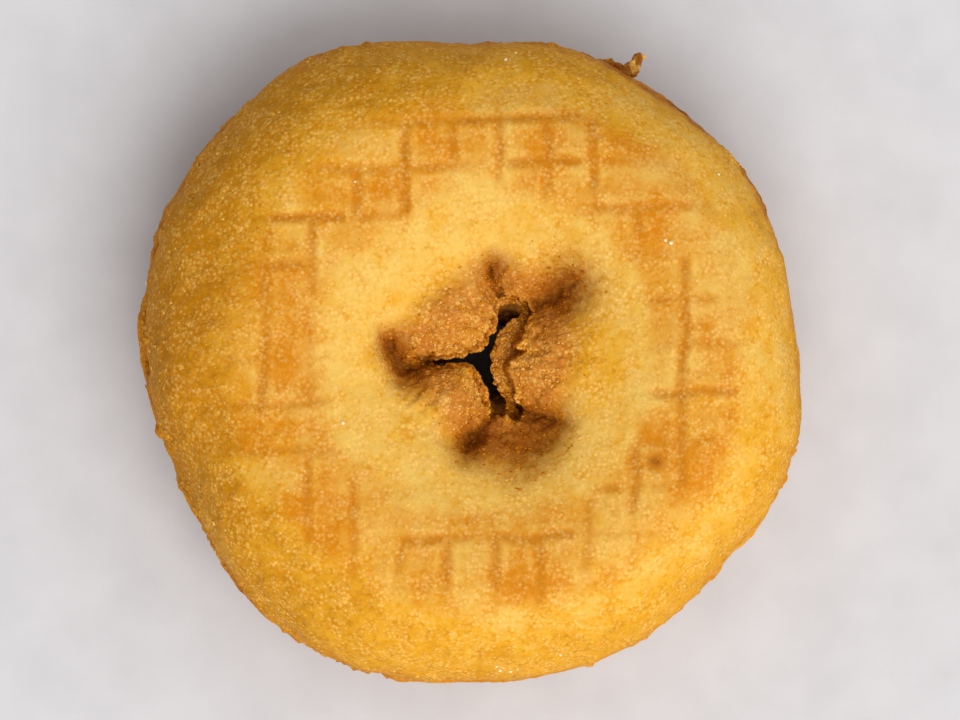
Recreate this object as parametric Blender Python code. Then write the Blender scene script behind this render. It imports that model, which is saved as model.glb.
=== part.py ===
"""A plain cake doughnut whose hole has fried almost shut, built as one solid.

Run with  blender --background --python part.py , or from the Text editor.  Lengths are in
metres and +Z is up.  The origin is in the middle of the base, under the middle of the
doughnut's bounding box.

The skin is lofted: STATIONS name the rings that its cross-section passes through, from the
lip of the hole out over the crown, down the flank, across the foot and up the hole again.
Pads, creases and dips then shape the crater round the hole, and one crisp scrap of batter
is joined to the waist.
"""
import math
from collections import namedtuple

import bmesh
import bpy
import numpy as np

MM = 0.001

# Driving sizes
HEIGHT = 32.0 * MM
WAIST_RADIUS = 45.0 * MM            # the widest ring, before its flats and bulges
WAIST_HEIGHT = 13.8 * MM
CROWN_RADIUS = 29.0 * MM            # the ring that the doughnut would touch upside down
CRATER_RADIUS = 15.5 * MM           # where the crown starts to dip to the hole
FOOT_OUTER_RADIUS = 33.5 * MM       # the flat ring that it rests on
FOOT_INNER_RADIUS = 25.0 * MM
FOOT_SINK = 0.5 * MM                # how far the round underside is pressed flat

# The hole and the crown sit a little off the middle of the waist.
HOLE_CENTRE = np.array((2.1, 0.7)) * MM
CROWN_CENTRE = np.array((2.6, 1.2)) * MM

# Mesh density
POINTS_AROUND = 120
LIP_SAMPLES = 50                    # between two named points, to space the lip's vertices

# A lobe changes a ring's radius round one direction (degrees, anticlockwise from +X): its
# half spread in degrees, and how far it stands out.  A flat is a lobe with a minus sign.
Lobe = namedtuple("Lobe", "direction spread out")
WAIST_LOBES = (
    Lobe(131, 48, 2.1 * MM),
    Lobe(31, 16, 1.1 * MM),
    Lobe(91, 14, -2.0 * MM),
    Lobe(204, 21, -2.4 * MM),
    Lobe(221, 12, 0.5 * MM),
    Lobe(273, 14, -0.8 * MM),
    Lobe(342, 14, 1.8 * MM),
)
# The lower half swells past the upper one on the left, and a groove runs over it there.
COLLAR_LOBE = Lobe(195, 62, 0.8 * MM)

# The hole is a three-armed gap between pads of batter.  Round it, anticlockwise from the left
# arm's end: where its lip is, and where the ledge below that is, in mm from HOLE_CENTRE.
Edge = namedtuple("Edge", "lip_x lip_y ledge_x ledge_y")
GAP_EDGES = (
    Edge(-8.0, -0.6, -7.2, -0.6),       # the left arm's end
    Edge(-6.4, -1.4, -6.1, -1.2),       # the lower left pad
    Edge(-4.2, -1.2, -4.2, -1.0),
    Edge(-2.3, -1.3, -2.3, -1.3),
    Edge(-1.1, -2.3, -1.2, -2.3),
    Edge(-0.3, -4.0, -0.3, -4.0),
    Edge(0.5, -5.8, 0.6, -5.6),
    Edge(0.9, -7.5, 1.0, -6.6),
    Edge(2.6, -8.3, 1.9, -7.0),         # the tucked-under pad
    Edge(4.4, -8.0, 2.9, -6.6),
    Edge(5.2, -7.0, 3.0, -5.8),
    Edge(4.3, -5.4, 2.2, -4.8),         # the right pad, torn back from its ledge
    Edge(3.8, -3.5, 1.6, -3.3),
    Edge(3.9, -1.5, 1.2, -1.2),
    Edge(4.6, 0.6, 1.3, 1.2),
    Edge(5.1, 2.9, 1.9, 3.2),
    Edge(6.0, 4.9, 3.4, 4.8),
    Edge(6.6, 6.5, 4.8, 5.8),
    Edge(5.2, 7.8, 4.5, 6.7),           # the small top pad
    Edge(3.4, 8.0, 3.2, 7.0),
    Edge(2.2, 7.4, 2.3, 6.7),
    Edge(1.7, 5.6, 1.8, 5.5),           # the upper left pad
    Edge(1.0, 3.6, 1.1, 3.6),
    Edge(-0.3, 1.9, -0.2, 1.9),
    Edge(-2.1, 0.7, -2.1, 0.8),
    Edge(-4.2, 0.2, -4.2, 0.1),
    Edge(-6.4, 0.1, -6.1, 0.0),
)

# The skin's rings, in order: how many rows of faces lie between each and the next, and what
# shares it takes of the waist's lobes and of the crater's relief.
Station = namedtuple("Station", "name radius height rows lobes relief")
STATIONS = (
    Station("lip", None, 26.2 * MM, 7, 0.0, 1.0),
    Station("pads", 11.0 * MM, 27.7 * MM, 6, 0.0, 1.0),
    Station("crater rim", CRATER_RADIUS, 29.7 * MM, 5, 0.0, 1.0),
    Station("crown, inside", 22.5 * MM, 31.7 * MM, 2, 0.1, 0.4),
    Station("crown", CROWN_RADIUS, 32.3 * MM, 2, 0.3, 0.0),
    Station("crown, outside", 34.5 * MM, 31.2 * MM, 3, 0.6, 0.0),
    Station("shoulder", 40.8 * MM, 26.8 * MM, 2, 0.9, 0.0),
    Station("flank", 44.4 * MM, 20.6 * MM, 2, 1.0, 0.0),
    Station("groove", 44.8 * MM, 16.4 * MM, 1, 1.0, 0.0),
    Station("waist", WAIST_RADIUS, WAIST_HEIGHT, 2, 1.0, 0.0),
    Station("under flank", 44.2 * MM, 8.4 * MM, 2, 0.9, 0.0),
    Station("heel", 40.4 * MM, 3.0 * MM, 2, 0.8, 0.0),
    Station("foot, outside", FOOT_OUTER_RADIUS, -FOOT_SINK, 1, 0.4, 0.0),
    Station("foot, inside", FOOT_INNER_RADIUS, -FOOT_SINK, 1, 0.2, 0.0),
    Station("underside", 20.5 * MM, 0.8 * MM, 1, 0.1, 0.0),
    Station("funnel rim", 15.5 * MM, 3.0 * MM, 2, 0.0, 0.0),
    Station("funnel", 10.0 * MM, 7.4 * MM, 2, 0.0, 0.0),
    Station("throat", 6.8 * MM, 13.4 * MM, 1, 0.0, 0.1),
    Station("upper throat", 5.0 * MM, 19.0 * MM, 2, 0.0, 0.45),
    Station("ledge", None, 23.2 * MM, 2, 0.0, 0.85),
)

# A swelling of the crater floor: where it is from the hole's centre, its spread and rise.
Swelling = namedtuple("Swelling", "x y spread rise")
SWELLINGS = (
    Swelling(-5.0 * MM, 5.6 * MM, 4.4 * MM, 1.5 * MM),      # the upper left pad
    Swelling(-5.2 * MM, -5.6 * MM, 4.4 * MM, 1.0 * MM),     # the lower left pad
    Swelling(9.0 * MM, -1.2 * MM, 4.6 * MM, 1.3 * MM),      # the right pad
    Swelling(5.4 * MM, 10.8 * MM, 2.6 * MM, 1.0 * MM),      # the small top pad
    Swelling(5.0 * MM, -11.4 * MM, 4.4 * MM, -2.8 * MM),    # the tucked-under pad
    Swelling(11.3 * MM, 9.4 * MM, 3.6 * MM, -2.8 * MM),     # the dip at the upper right
    Swelling(8.8 * MM, -9.8 * MM, 2.6 * MM, -1.2 * MM),     # the fold under the right pad
    Swelling(-12.6 * MM, 1.4 * MM, 2.0 * MM, -1.3 * MM),    # the pit beyond the left arm
    Swelling(-9.8 * MM, -2.4 * MM, 1.9 * MM, -1.5 * MM),
    Swelling(1.3 * MM, 12.3 * MM, 1.5 * MM, -1.3 * MM),     # the pit at the top
    Swelling(-2.0 * MM, -11.6 * MM, 2.2 * MM, -1.9 * MM),   # the pit at the bottom
)
# A crease between two pads: its points in mm from the hole's centre, its width and depth.
Crease = namedtuple("Crease", "points width depth")
CREASES = (
    Crease(((-14.6, 4.6), (-12.6, 1.4), (-11.2, -1.4), (-9.0, -1.9), (-7.6, -0.8)),
           1.5 * MM, 3.4 * MM),
    Crease(((1.0, 15.0), (1.0, 12.0), (1.9, 8.8)), 1.2 * MM, 2.6 * MM),
    Crease(((14.0, 11.6), (11.4, 9.4), (9.6, 8.0), (7.4, 7.2)), 1.9 * MM, 3.2 * MM),
    Crease(((13.0, -9.6), (9.0, -8.4), (6.2, -7.6), (4.8, -6.8)), 1.4 * MM, 3.0 * MM),
    Crease(((-3.2, -15.2), (-2.0, -12.0), (0.2, -9.2), (1.2, -8.0)), 1.6 * MM, 3.2 * MM),
)
CREASE_BLUNT = 0.25 * MM            # how far the bottom of a crease is rounded off
CREASE_FADE = (11.5 * MM, 16.5 * MM)    # where creases die away, from the hole's centre

# Slow unevenness of the whole skin: waves along a direction, of one length and height.
Wave = namedtuple("Wave", "x y z length phase height")
WAVES = (
    Wave(0.8, 0.5, 0.3, 33 * MM, 0.4, 0.40 * MM),
    Wave(-0.4, 0.9, 0.2, 21 * MM, 2.1, 0.30 * MM),
    Wave(0.3, -0.6, 0.7, 13 * MM, 4.0, 0.15 * MM),
)
WAVE_OUTWARDS = 0.5                 # the share of a wave that moves the flank in or out
WAVE_UPWARDS = 0.7                  # and the share that moves the skin up or down

# The scrap: a curl of batter that left the waist, as (from the origin, thickness) in mm.
SCRAP_PATH = (
    (16.8, 40.4, 13.6, 1.5),
    (19.2, 40.9, 14.4, 1.2),
    (21.0, 39.9, 14.9, 1.7),
    (22.2, 40.4, 14.6, 1.5),
    (23.3, 41.8, 14.0, 1.4),
    (24.3, 42.4, 13.7, 0.8),
)
SCRAP_ROOT = (17.6, 37.0, 13.2, 2.0)    # inside the doughnut, so that the two overlap
SCRAP_SIDES = 8

CRUST_COLOUR = (0.72, 0.38, 0.06, 1.0)
CRUST_ROUGHNESS = 0.75


def lobe_sum(angle, lobes):
    """How far the lobes move a ring in or out at each angle, in metres."""
    total = np.zeros_like(angle)
    for lobe in lobes:
        away = (np.degrees(angle) - lobe.direction + 180) % 360 - 180
        total += lobe.out * np.exp(-((away / lobe.spread) ** 2))
    return total


def between(before, start, end, after, share):
    """A point on the smooth (Catmull-Rom) curve from start to end."""
    bend = 2 * before - 5 * start + 4 * end - after
    twist = 3 * start - before - 3 * end + after
    return start + 0.5 * share * (end - before + share * (bend + share * twist))


def gap_edges(count):
    """The lip and the ledge as count pairs of points, evenly spaced along the lip."""
    named = np.array(GAP_EDGES) * MM
    shares = np.linspace(0, 1, LIP_SAMPLES, endpoint=False)[:, None, None]
    around = [np.roll(named, -step, axis=0) for step in (-1, 0, 1, 2)]
    fine = between(*around, shares).swapaxes(0, 1).reshape(-1, 4)
    fine = np.concatenate((fine, fine[:1]))
    steps = np.hypot(np.diff(fine[:, 0]), np.diff(fine[:, 1]))
    along = np.concatenate(((0.0,), np.cumsum(steps)))
    wanted = np.linspace(0, along[-1], count, endpoint=False)
    return np.array([np.interp(wanted, along, column) for column in fine.T]).T


def station_ring(station, edges):
    """One station's ring of points.  Near the hole they are spaced as on the lip."""
    ring = np.empty((len(edges), 3))
    ring[:, 2] = station.height
    if station.radius is None:
        ring[:, :2] = HOLE_CENTRE + (edges[:, :2] if station.name == "lip" else edges[:, 2:])
        return ring
    lip_angle = np.unwrap(np.arctan2(edges[:, 1], edges[:, 0]))
    even_angle = lip_angle[0] + np.linspace(0, 2 * math.pi, len(edges), endpoint=False)
    evenness = min(1.0, station.radius / CRATER_RADIUS)
    angle = lip_angle + (even_angle - lip_angle) * evenness
    radius = station.radius + station.lobes * lobe_sum(angle, WAIST_LOBES)
    if station.name in ("flank", "groove"):
        radius = radius - lobe_sum(angle, (COLLAR_LOBE,))
    if station.radius < CROWN_RADIUS:
        inwards = 1 - station.radius / CROWN_RADIUS
        centre = CROWN_CENTRE + (HOLE_CENTRE - CROWN_CENTRE) * inwards
    else:
        outwards = (station.radius - CROWN_RADIUS) / (WAIST_RADIUS - CROWN_RADIUS)
        centre = CROWN_CENTRE * (1 - outwards)
    ring[:, 0] = centre[0] + radius * np.cos(angle)
    ring[:, 1] = centre[1] + radius * np.sin(angle)
    return ring


def smooth_step(low, high, values):
    """0 below low and 1 above high, with a smooth S between them."""
    share = np.clip((values - low) / (high - low), 0, 1)
    return share * share * (3 - 2 * share)


def crease_depth(x, y):
    """Depth of the creases at points given from the hole's centre.  Each is a fold with a
    sharp bottom: depth falls off as e to the minus distance over width."""
    deepest = np.zeros_like(x)
    for crease in CREASES:
        nearest = np.full_like(x, np.inf)
        for start, end in zip(crease.points, crease.points[1:]):
            (x0, y0), (x1, y1) = np.array(start) * MM, np.array(end) * MM
            run_x, run_y = x1 - x0, y1 - y0
            share = ((x - x0) * run_x + (y - y0) * run_y) / (run_x**2 + run_y**2)
            share = np.clip(share, 0, 1)
            away = np.hypot(x - x0 - share * run_x, y - y0 - share * run_y)
            nearest = np.minimum(nearest, away)
        away = np.hypot(nearest, CREASE_BLUNT) - CREASE_BLUNT
        deepest = np.maximum(deepest, crease.depth * np.exp(-away / crease.width))
    return deepest * (1 - smooth_step(*CREASE_FADE, np.hypot(x, y)))


def crater_relief(x, y):
    """Rise or fall of the crater's floor at points given from the hole's centre."""
    rise = -crease_depth(x, y)
    for swelling in SWELLINGS:
        squared = (x - swelling.x) ** 2 + (y - swelling.y) ** 2
        rise += swelling.rise * np.exp(-squared / swelling.spread**2)
    return rise


def unevenness(points):
    """Slow waves over the whole skin, as a distance at each point."""
    total = np.zeros(len(points))
    for wave in WAVES:
        along = points @ np.array((wave.x, wave.y, wave.z))
        total += wave.height * np.sin(2 * math.pi * along / wave.length + wave.phase)
    return total


def skin_rows():
    """Every row of the skin, from the lip round to the ledge, as an array of rings."""
    edges = gap_edges(POINTS_AROUND)
    rings = [station_ring(station, edges) for station in STATIONS]
    reliefs = [station.relief for station in STATIONS]
    count = len(STATIONS)
    rows = []
    for index, station in enumerate(STATIONS):
        neighbours = [(index + step) % count for step in (-1, 0, 1, 2)]
        for row in range(station.rows):
            share = row / station.rows
            points = between(*(rings[n] for n in neighbours), share)
            weight = between(*(reliefs[n] for n in neighbours), share)
            flat = points[:, :2] - HOLE_CENTRE
            points[:, 2] += weight * crater_relief(flat[:, 0], flat[:, 1])
            outwards = points[:, :2] / np.linalg.norm(points[:, :2], axis=1)[:, None]
            lump = unevenness(points)
            points[:, :2] += outwards * (WAVE_OUTWARDS * station.lobes * lump)[:, None]
            points[:, 2] += WAVE_UPWARDS * lump
            rows.append(points)
    return rows


def press_flat(rows):
    """Flattens the foot to one plane, brings the crown to HEIGHT, and centres the whole."""
    points = np.array(rows)
    points[..., 2] = np.maximum(points[..., 2], 0.0)
    points[..., 2] *= HEIGHT / points[..., 2].max()
    low, high = points.min(axis=(0, 1)), points.max(axis=(0, 1))
    points[..., :2] -= (low[:2] + high[:2]) / 2
    return points


def ring_mesh(name, rows):
    """A closed mesh from rings of equal count, joined in a loop like a bent tube."""
    mesh = bmesh.new()
    rings = [[mesh.verts.new(point) for point in row] for row in rows]
    around = len(rings[0])
    for ring, following in zip(rings, rings[1:] + rings[:1]):
        for here in range(around):
            there = (here + 1) % around
            mesh.faces.new((ring[here], following[here], following[there], ring[there]))
    bmesh.ops.recalc_face_normals(mesh, faces=mesh.faces)
    made = bpy.data.meshes.new(name)
    mesh.to_mesh(made)
    mesh.free()
    return made


def add_object(name, mesh, collection):
    made = bpy.data.objects.new(name, mesh)
    collection.objects.link(made)
    return made


def scrap_mesh(name):
    """The crisp scrap: a tube of changing thickness along SCRAP_PATH, closed at both ends."""
    stops = np.array((SCRAP_ROOT,) + SCRAP_PATH) * MM
    mesh = bmesh.new()
    rings = []
    for index, stop in enumerate(stops):
        ahead = stops[min(index + 1, len(stops) - 1)] - stops[max(index - 1, 0)]
        along = ahead[:3] / np.linalg.norm(ahead[:3])
        side = np.cross(along, (0.0, 0.0, 1.0))
        side /= np.linalg.norm(side)
        top = np.cross(side, along)
        ring = []
        for corner in range(SCRAP_SIDES):
            turn = 2 * math.pi * corner / SCRAP_SIDES
            offset = side * math.cos(turn) + top * math.sin(turn)
            ring.append(mesh.verts.new(stop[:3] + offset * stop[3] / 2))
        rings.append(ring)
    for ring, following in zip(rings, rings[1:]):
        for corner in range(SCRAP_SIDES):
            beside = (corner + 1) % SCRAP_SIDES
            mesh.faces.new((ring[corner], ring[beside], following[beside], following[corner]))
    mesh.faces.new(rings[0][::-1])
    mesh.faces.new(rings[-1])
    bmesh.ops.recalc_face_normals(mesh, faces=mesh.faces)
    made = bpy.data.meshes.new(name)
    mesh.to_mesh(made)
    mesh.free()
    return made


def join_collection(target, collection):
    """Unites every object of the collection with the target, then removes them."""
    union = target.modifiers.new("join", "BOOLEAN")
    union.operation = "UNION"
    union.operand_type = "COLLECTION"
    union.collection = collection
    union.solver = "EXACT"
    bpy.context.view_layer.update()
    graph = bpy.context.evaluated_depsgraph_get()
    joined = bpy.data.meshes.new_from_object(target.evaluated_get(graph))
    target.modifiers.remove(union)
    target.data = joined
    for extra in list(collection.objects):
        bpy.data.objects.remove(extra)
    bpy.data.collections.remove(collection)


def crust_material():
    made = bpy.data.materials.new("fried_crust")
    made.diffuse_color = CRUST_COLOUR
    made.use_nodes = True
    shader = made.node_tree.nodes["Principled BSDF"]
    shader.inputs["Base Color"].default_value = CRUST_COLOUR
    shader.inputs["Roughness"].default_value = CRUST_ROUGHNESS
    shader.inputs["Metallic"].default_value = 0.0
    return made


def build():
    for old in list(bpy.data.objects):
        bpy.data.objects.remove(old)
    scene = bpy.context.scene
    doughnut = add_object(
        "doughnut", ring_mesh("doughnut", press_flat(skin_rows())), scene.collection
    )
    scraps = bpy.data.collections.new("scraps")
    scene.collection.children.link(scraps)
    add_object("batter_scrap", scrap_mesh("batter_scrap"), scraps)
    join_collection(doughnut, scraps)
    doughnut.data.materials.clear()
    doughnut.data.materials.append(crust_material())
    doughnut.data.shade_smooth()


build()
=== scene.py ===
"""Looks for a fried cake doughnut: grained crust, loose crumbs, sugar and a crisp scrap.

The crust is one closed surface of two parameters: how far round the hole, and how far round
the cross-section.  It passes through the same named rings as the solid model, and then
takes the grain, the screen's marks, the torn hole and the ragged seam at the waist.
"""
import math
from collections import namedtuple

import bpy
import numpy as np
from bpy.props import FloatProperty, FloatVectorProperty, IntProperty, PointerProperty
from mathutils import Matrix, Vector


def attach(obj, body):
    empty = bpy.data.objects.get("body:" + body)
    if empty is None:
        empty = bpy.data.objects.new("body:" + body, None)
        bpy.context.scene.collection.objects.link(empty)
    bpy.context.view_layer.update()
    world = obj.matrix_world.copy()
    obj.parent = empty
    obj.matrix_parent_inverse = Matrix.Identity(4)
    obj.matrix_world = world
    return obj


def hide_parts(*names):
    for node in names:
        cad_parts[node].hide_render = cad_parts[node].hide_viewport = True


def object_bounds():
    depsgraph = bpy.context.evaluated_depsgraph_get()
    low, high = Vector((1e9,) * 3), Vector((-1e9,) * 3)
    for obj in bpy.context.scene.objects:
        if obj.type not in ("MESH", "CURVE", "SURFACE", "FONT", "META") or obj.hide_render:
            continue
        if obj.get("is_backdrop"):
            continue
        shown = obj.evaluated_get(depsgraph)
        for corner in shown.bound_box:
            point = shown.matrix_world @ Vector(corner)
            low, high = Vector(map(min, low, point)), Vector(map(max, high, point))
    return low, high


bl_info = {
    "name": "Cake doughnut",
    "version": (1, 0, 0),
    "blender": (4, 5, 0),
    "location": "3D View > Sidebar > Doughnut",
    "description": "Dresses the solid model of a fried cake doughnut",
    "category": "Object",
}

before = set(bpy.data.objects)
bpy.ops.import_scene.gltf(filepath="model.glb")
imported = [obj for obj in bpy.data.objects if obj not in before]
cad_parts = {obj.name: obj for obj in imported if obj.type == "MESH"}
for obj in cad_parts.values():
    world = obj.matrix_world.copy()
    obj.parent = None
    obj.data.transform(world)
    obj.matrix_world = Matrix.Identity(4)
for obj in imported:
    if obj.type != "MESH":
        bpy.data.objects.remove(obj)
CAD_LOW, CAD_HIGH = (np.array(corner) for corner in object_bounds())

MM = 0.001
NODE = "doughnut"

# --- The smooth shape, as in the solid model -----------------------------------------

WAIST_RADIUS = 45.0 * MM
CROWN_RADIUS = 29.0 * MM
CRATER_RADIUS = 15.5 * MM
HOLE_CENTRE = np.array((2.1, 0.7)) * MM
CROWN_CENTRE = np.array((2.6, 1.2)) * MM

# Direction and half spread in degrees, and how far it stands out.
Lobe = namedtuple("Lobe", "direction spread out")
WAIST_LOBES = (
    Lobe(131, 48, 2.1 * MM),
    Lobe(31, 16, 1.1 * MM),
    Lobe(91, 14, -2.0 * MM),
    Lobe(204, 21, -2.4 * MM),
    Lobe(221, 12, 0.5 * MM),
    Lobe(273, 14, -0.8 * MM),
    Lobe(342, 14, 1.8 * MM),
)
COLLAR_LOBE = Lobe(195, 62, 0.8 * MM)
# Small bulges and dents of the seam's edge, which the solid model does without.
EDGE_LOBES = (
    Lobe(0, 6, 0.50 * MM), Lobe(30, 5, 0.50 * MM), Lobe(100, 6, 0.35 * MM),
    Lobe(119, 8, 0.45 * MM), Lobe(141, 5, 0.30 * MM), Lobe(180, 6, -0.30 * MM),
    Lobe(230, 5, 0.45 * MM), Lobe(276, 12, 0.50 * MM), Lobe(330, 5, 0.55 * MM),
    Lobe(343, 6, -0.40 * MM),
)

# Round the gap, anticlockwise: its lip and the ledge below, in mm from HOLE_CENTRE.
Edge = namedtuple("Edge", "lip_x lip_y ledge_x ledge_y")
GAP_EDGES = (
    Edge(-8.0, -0.6, -7.2, -0.6),       # the left arm's end
    Edge(-6.4, -1.4, -6.1, -1.2),       # the lower left pad
    Edge(-4.2, -1.2, -4.2, -1.0),
    Edge(-2.3, -1.3, -2.3, -1.3),
    Edge(-1.1, -2.3, -1.2, -2.3),
    Edge(-0.3, -4.0, -0.3, -4.0),
    Edge(0.5, -5.8, 0.6, -5.6),
    Edge(0.9, -7.5, 1.0, -6.6),
    Edge(2.6, -8.3, 1.9, -7.0),         # the tucked-under pad
    Edge(4.4, -8.0, 2.9, -6.6),
    Edge(5.2, -7.0, 3.0, -5.8),
    Edge(4.3, -5.4, 2.2, -4.8),         # the right pad, torn back from its ledge
    Edge(3.8, -3.5, 1.6, -3.3),
    Edge(3.9, -1.5, 1.2, -1.2),
    Edge(4.6, 0.6, 1.3, 1.2),
    Edge(5.1, 2.9, 1.9, 3.2),
    Edge(6.0, 4.9, 3.4, 4.8),
    Edge(6.6, 6.5, 4.8, 5.8),
    Edge(5.2, 7.8, 4.5, 6.7),           # the small top pad
    Edge(3.4, 8.0, 3.2, 7.0),
    Edge(2.2, 7.4, 2.3, 6.7),
    Edge(1.7, 5.6, 1.8, 5.5),           # the upper left pad
    Edge(1.0, 3.6, 1.1, 3.6),
    Edge(-0.3, 1.9, -0.2, 1.9),
    Edge(-2.1, 0.7, -2.1, 0.8),
    Edge(-4.2, 0.2, -4.2, 0.1),
    Edge(-6.4, 0.1, -6.1, 0.0),
)
LIP_SAMPLES = 50

# The named rings, in order round the cross-section.  rows is how many rows of faces the
# crust has between a ring and the next; lobes and relief are shares taken of each.
Station = namedtuple("Station", "name radius height rows lobes relief")
STATIONS = (
    Station("lip", None, 26.2 * MM, 19, 0.0, 1.0),
    Station("pads", 11.0 * MM, 27.7 * MM, 13, 0.0, 1.0),
    Station("crater rim", CRATER_RADIUS, 29.7 * MM, 16, 0.0, 1.0),
    Station("crown, inside", 22.5 * MM, 31.7 * MM, 14, 0.1, 0.4),
    Station("crown", CROWN_RADIUS, 32.3 * MM, 13, 0.3, 0.0),
    Station("crown, outside", 34.5 * MM, 31.2 * MM, 16, 0.6, 0.0),
    Station("shoulder", 40.8 * MM, 26.8 * MM, 14, 0.9, 0.0),
    Station("flank", 44.4 * MM, 20.6 * MM, 9, 1.0, 0.0),
    Station("groove", 44.8 * MM, 16.4 * MM, 8, 1.0, 0.0),
    Station("waist", WAIST_RADIUS, 13.8 * MM, 10, 1.0, 0.0),
    Station("under flank", 44.2 * MM, 8.4 * MM, 7, 0.9, 0.0),
    Station("heel", 40.4 * MM, 3.0 * MM, 7, 0.8, 0.0),
    Station("foot, outside", 33.5 * MM, -0.5 * MM, 4, 0.4, 0.0),
    Station("foot, inside", 25.0 * MM, -0.5 * MM, 3, 0.2, 0.0),
    Station("underside", 20.5 * MM, 0.8 * MM, 3, 0.1, 0.0),
    Station("funnel rim", 15.5 * MM, 3.0 * MM, 4, 0.0, 0.0),
    Station("funnel", 10.0 * MM, 7.4 * MM, 4, 0.0, 0.0),
    Station("throat", 6.8 * MM, 13.4 * MM, 3, 0.0, 0.1),
    Station("upper throat", 5.0 * MM, 19.0 * MM, 3, 0.0, 0.45),
    Station("ledge", None, 23.2 * MM, 14, 0.0, 0.85),
)
STATION_AT = {station.name: index for index, station in enumerate(STATIONS)}
CRUST_COLUMNS = 540

Swelling = namedtuple("Swelling", "x y spread rise")
SWELLINGS = (
    Swelling(-5.0 * MM, 5.6 * MM, 4.4 * MM, 1.5 * MM),      # the upper left pad
    Swelling(-5.2 * MM, -5.6 * MM, 4.4 * MM, 1.0 * MM),     # the lower left pad
    Swelling(9.0 * MM, -1.2 * MM, 4.6 * MM, 1.3 * MM),      # the right pad
    Swelling(5.4 * MM, 10.8 * MM, 2.6 * MM, 1.0 * MM),      # the small top pad
    Swelling(5.0 * MM, -11.4 * MM, 4.4 * MM, -2.8 * MM),    # the tucked-under pad
    Swelling(11.3 * MM, 9.4 * MM, 3.6 * MM, -2.8 * MM),     # the dip at the upper right
    Swelling(8.8 * MM, -9.8 * MM, 2.6 * MM, -1.2 * MM),     # the fold under the right pad
    Swelling(-12.6 * MM, 1.4 * MM, 2.0 * MM, -1.3 * MM),    # the pit beyond the left arm
    Swelling(-9.8 * MM, -2.4 * MM, 1.9 * MM, -1.5 * MM),
    Swelling(1.3 * MM, 12.3 * MM, 1.5 * MM, -1.3 * MM),     # the pit at the top
    Swelling(-2.0 * MM, -11.6 * MM, 2.2 * MM, -1.9 * MM),   # the pit at the bottom
)
Crease = namedtuple("Crease", "points width depth")
CREASES = (
    Crease(((-14.6, 4.6), (-12.6, 1.4), (-11.2, -1.4), (-9.0, -1.9), (-7.6, -0.8)),
           1.5 * MM, 3.4 * MM),
    Crease(((1.0, 15.0), (1.0, 12.0), (1.9, 8.8)), 1.2 * MM, 2.6 * MM),
    Crease(((14.0, 11.6), (11.4, 9.4), (9.6, 8.0), (7.4, 7.2)), 1.9 * MM, 3.2 * MM),
    Crease(((13.0, -9.6), (9.0, -8.4), (6.2, -7.6), (4.8, -6.8)), 1.4 * MM, 3.0 * MM),
    Crease(((-3.2, -15.2), (-2.0, -12.0), (0.2, -9.2), (1.2, -8.0)), 1.6 * MM, 3.2 * MM),
)
CREASE_FADE = (11.5 * MM, 16.5 * MM)    # where the creases die away, from the hole's centre
CREASE_BLUNT = 0.25 * MM                # how far the bottom of a crease is rounded off
LIP_SETBACK = 0.4 * MM      # how far the lips stand back, to leave room for their crumbs
FACE_SETBACK = 0.6 * MM     # the same for the face below a lip that isn't torn back
LEDGE_SETBACK = 0.25 * MM   # and for the ledge's own edge

# How far from the hole's centre the browned zone reaches: direction in degrees, then mm.
BROWNED_EDGE = ((0, 14.5), (22, 14.0), (42, 16.6), (66, 15.0), (86, 14.6), (108, 12.6),
                (150, 12.2), (172, 15.6), (198, 12.5), (228, 10.4), (250, 13.6), (268, 15.6),
                (292, 16.0), (318, 14.8), (338, 13.4), (360, 14.5))

Wave = namedtuple("Wave", "x y z length phase height")
WAVES = (
    Wave(0.8, 0.5, 0.3, 33 * MM, 0.4, 0.40 * MM),
    Wave(-0.4, 0.9, 0.2, 21 * MM, 2.1, 0.30 * MM),
    Wave(0.3, -0.6, 0.7, 13 * MM, 4.0, 0.15 * MM),
)
WAVE_OUTWARDS, WAVE_UPWARDS = 0.5, 0.7      # shares of the waves taken each way

SEAM_HEIGHT = 15.6          # in mm
SEAM_OPEN = (Lobe(192, 52, 0.8), Lobe(338, 22, 0.4), Lobe(60, 50, 0.5))

# --- The fryer screen's marks -----------------------------------------------------------

SCREEN_PITCH = 6.3 * MM
SCREEN_START = np.array((3.7, 1.4)) * MM    # where two wires cross
SCREEN_LEAN = (0.015, 0.03)                 # how far each family of wires leans
MARK_WIDTH = 0.6 * MM
MARK_INNER_RADIUS = 22.5 * MM               # the marks lie in a ring round the crown
MARK_OUTER_RADIUS = 36.0 * MM
FAINT_PRINT = 0.16                          # how hard a wire presses outside the presses
PRESS_FADE = 0.12                           # how far a press fades in and out, in pitches

# Where a wire pressed hardest: its number, then from where to where in pitches, and how hard.
Press = namedtuple("Press", "wire start end strength")
UPRIGHT_PRESSES = [Press(*row) for row in (
    (-5, -1.2, 2.1, 0.8), (-4, -4.0, -2.1, 0.8), (-4, -1.0, 1.0, 0.4),
    (-4, 1.3, 3.0, 0.8), (-3, -5.0, -2.7, 0.7), (-3, 3.0, 4.0, 0.8),
    (-2, -4.8, -4.0, 0.5), (-2, 3.0, 5.0, 1.0), (-1, -5.2, -4.1, 0.9),
    (-1, 3.9, 5.0, 0.9), (0, -5.1, -3.9, 0.9),
    (0, 3.5, 5.1, 0.9), (1, -5.8, -4.1, 0.8), (1, 3.4, 4.9, 0.8),
    (2, -5.0, -3.1, 0.5), (2, 3.4, 5.0, 0.9), (3, -3.6, -2.1, 1.0),
    (3, 2.4, 3.1, 1.0), (4, -3.0, 1.9, 1.0), (5, -1.2, 0.1, 0.3),
)]
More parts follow.
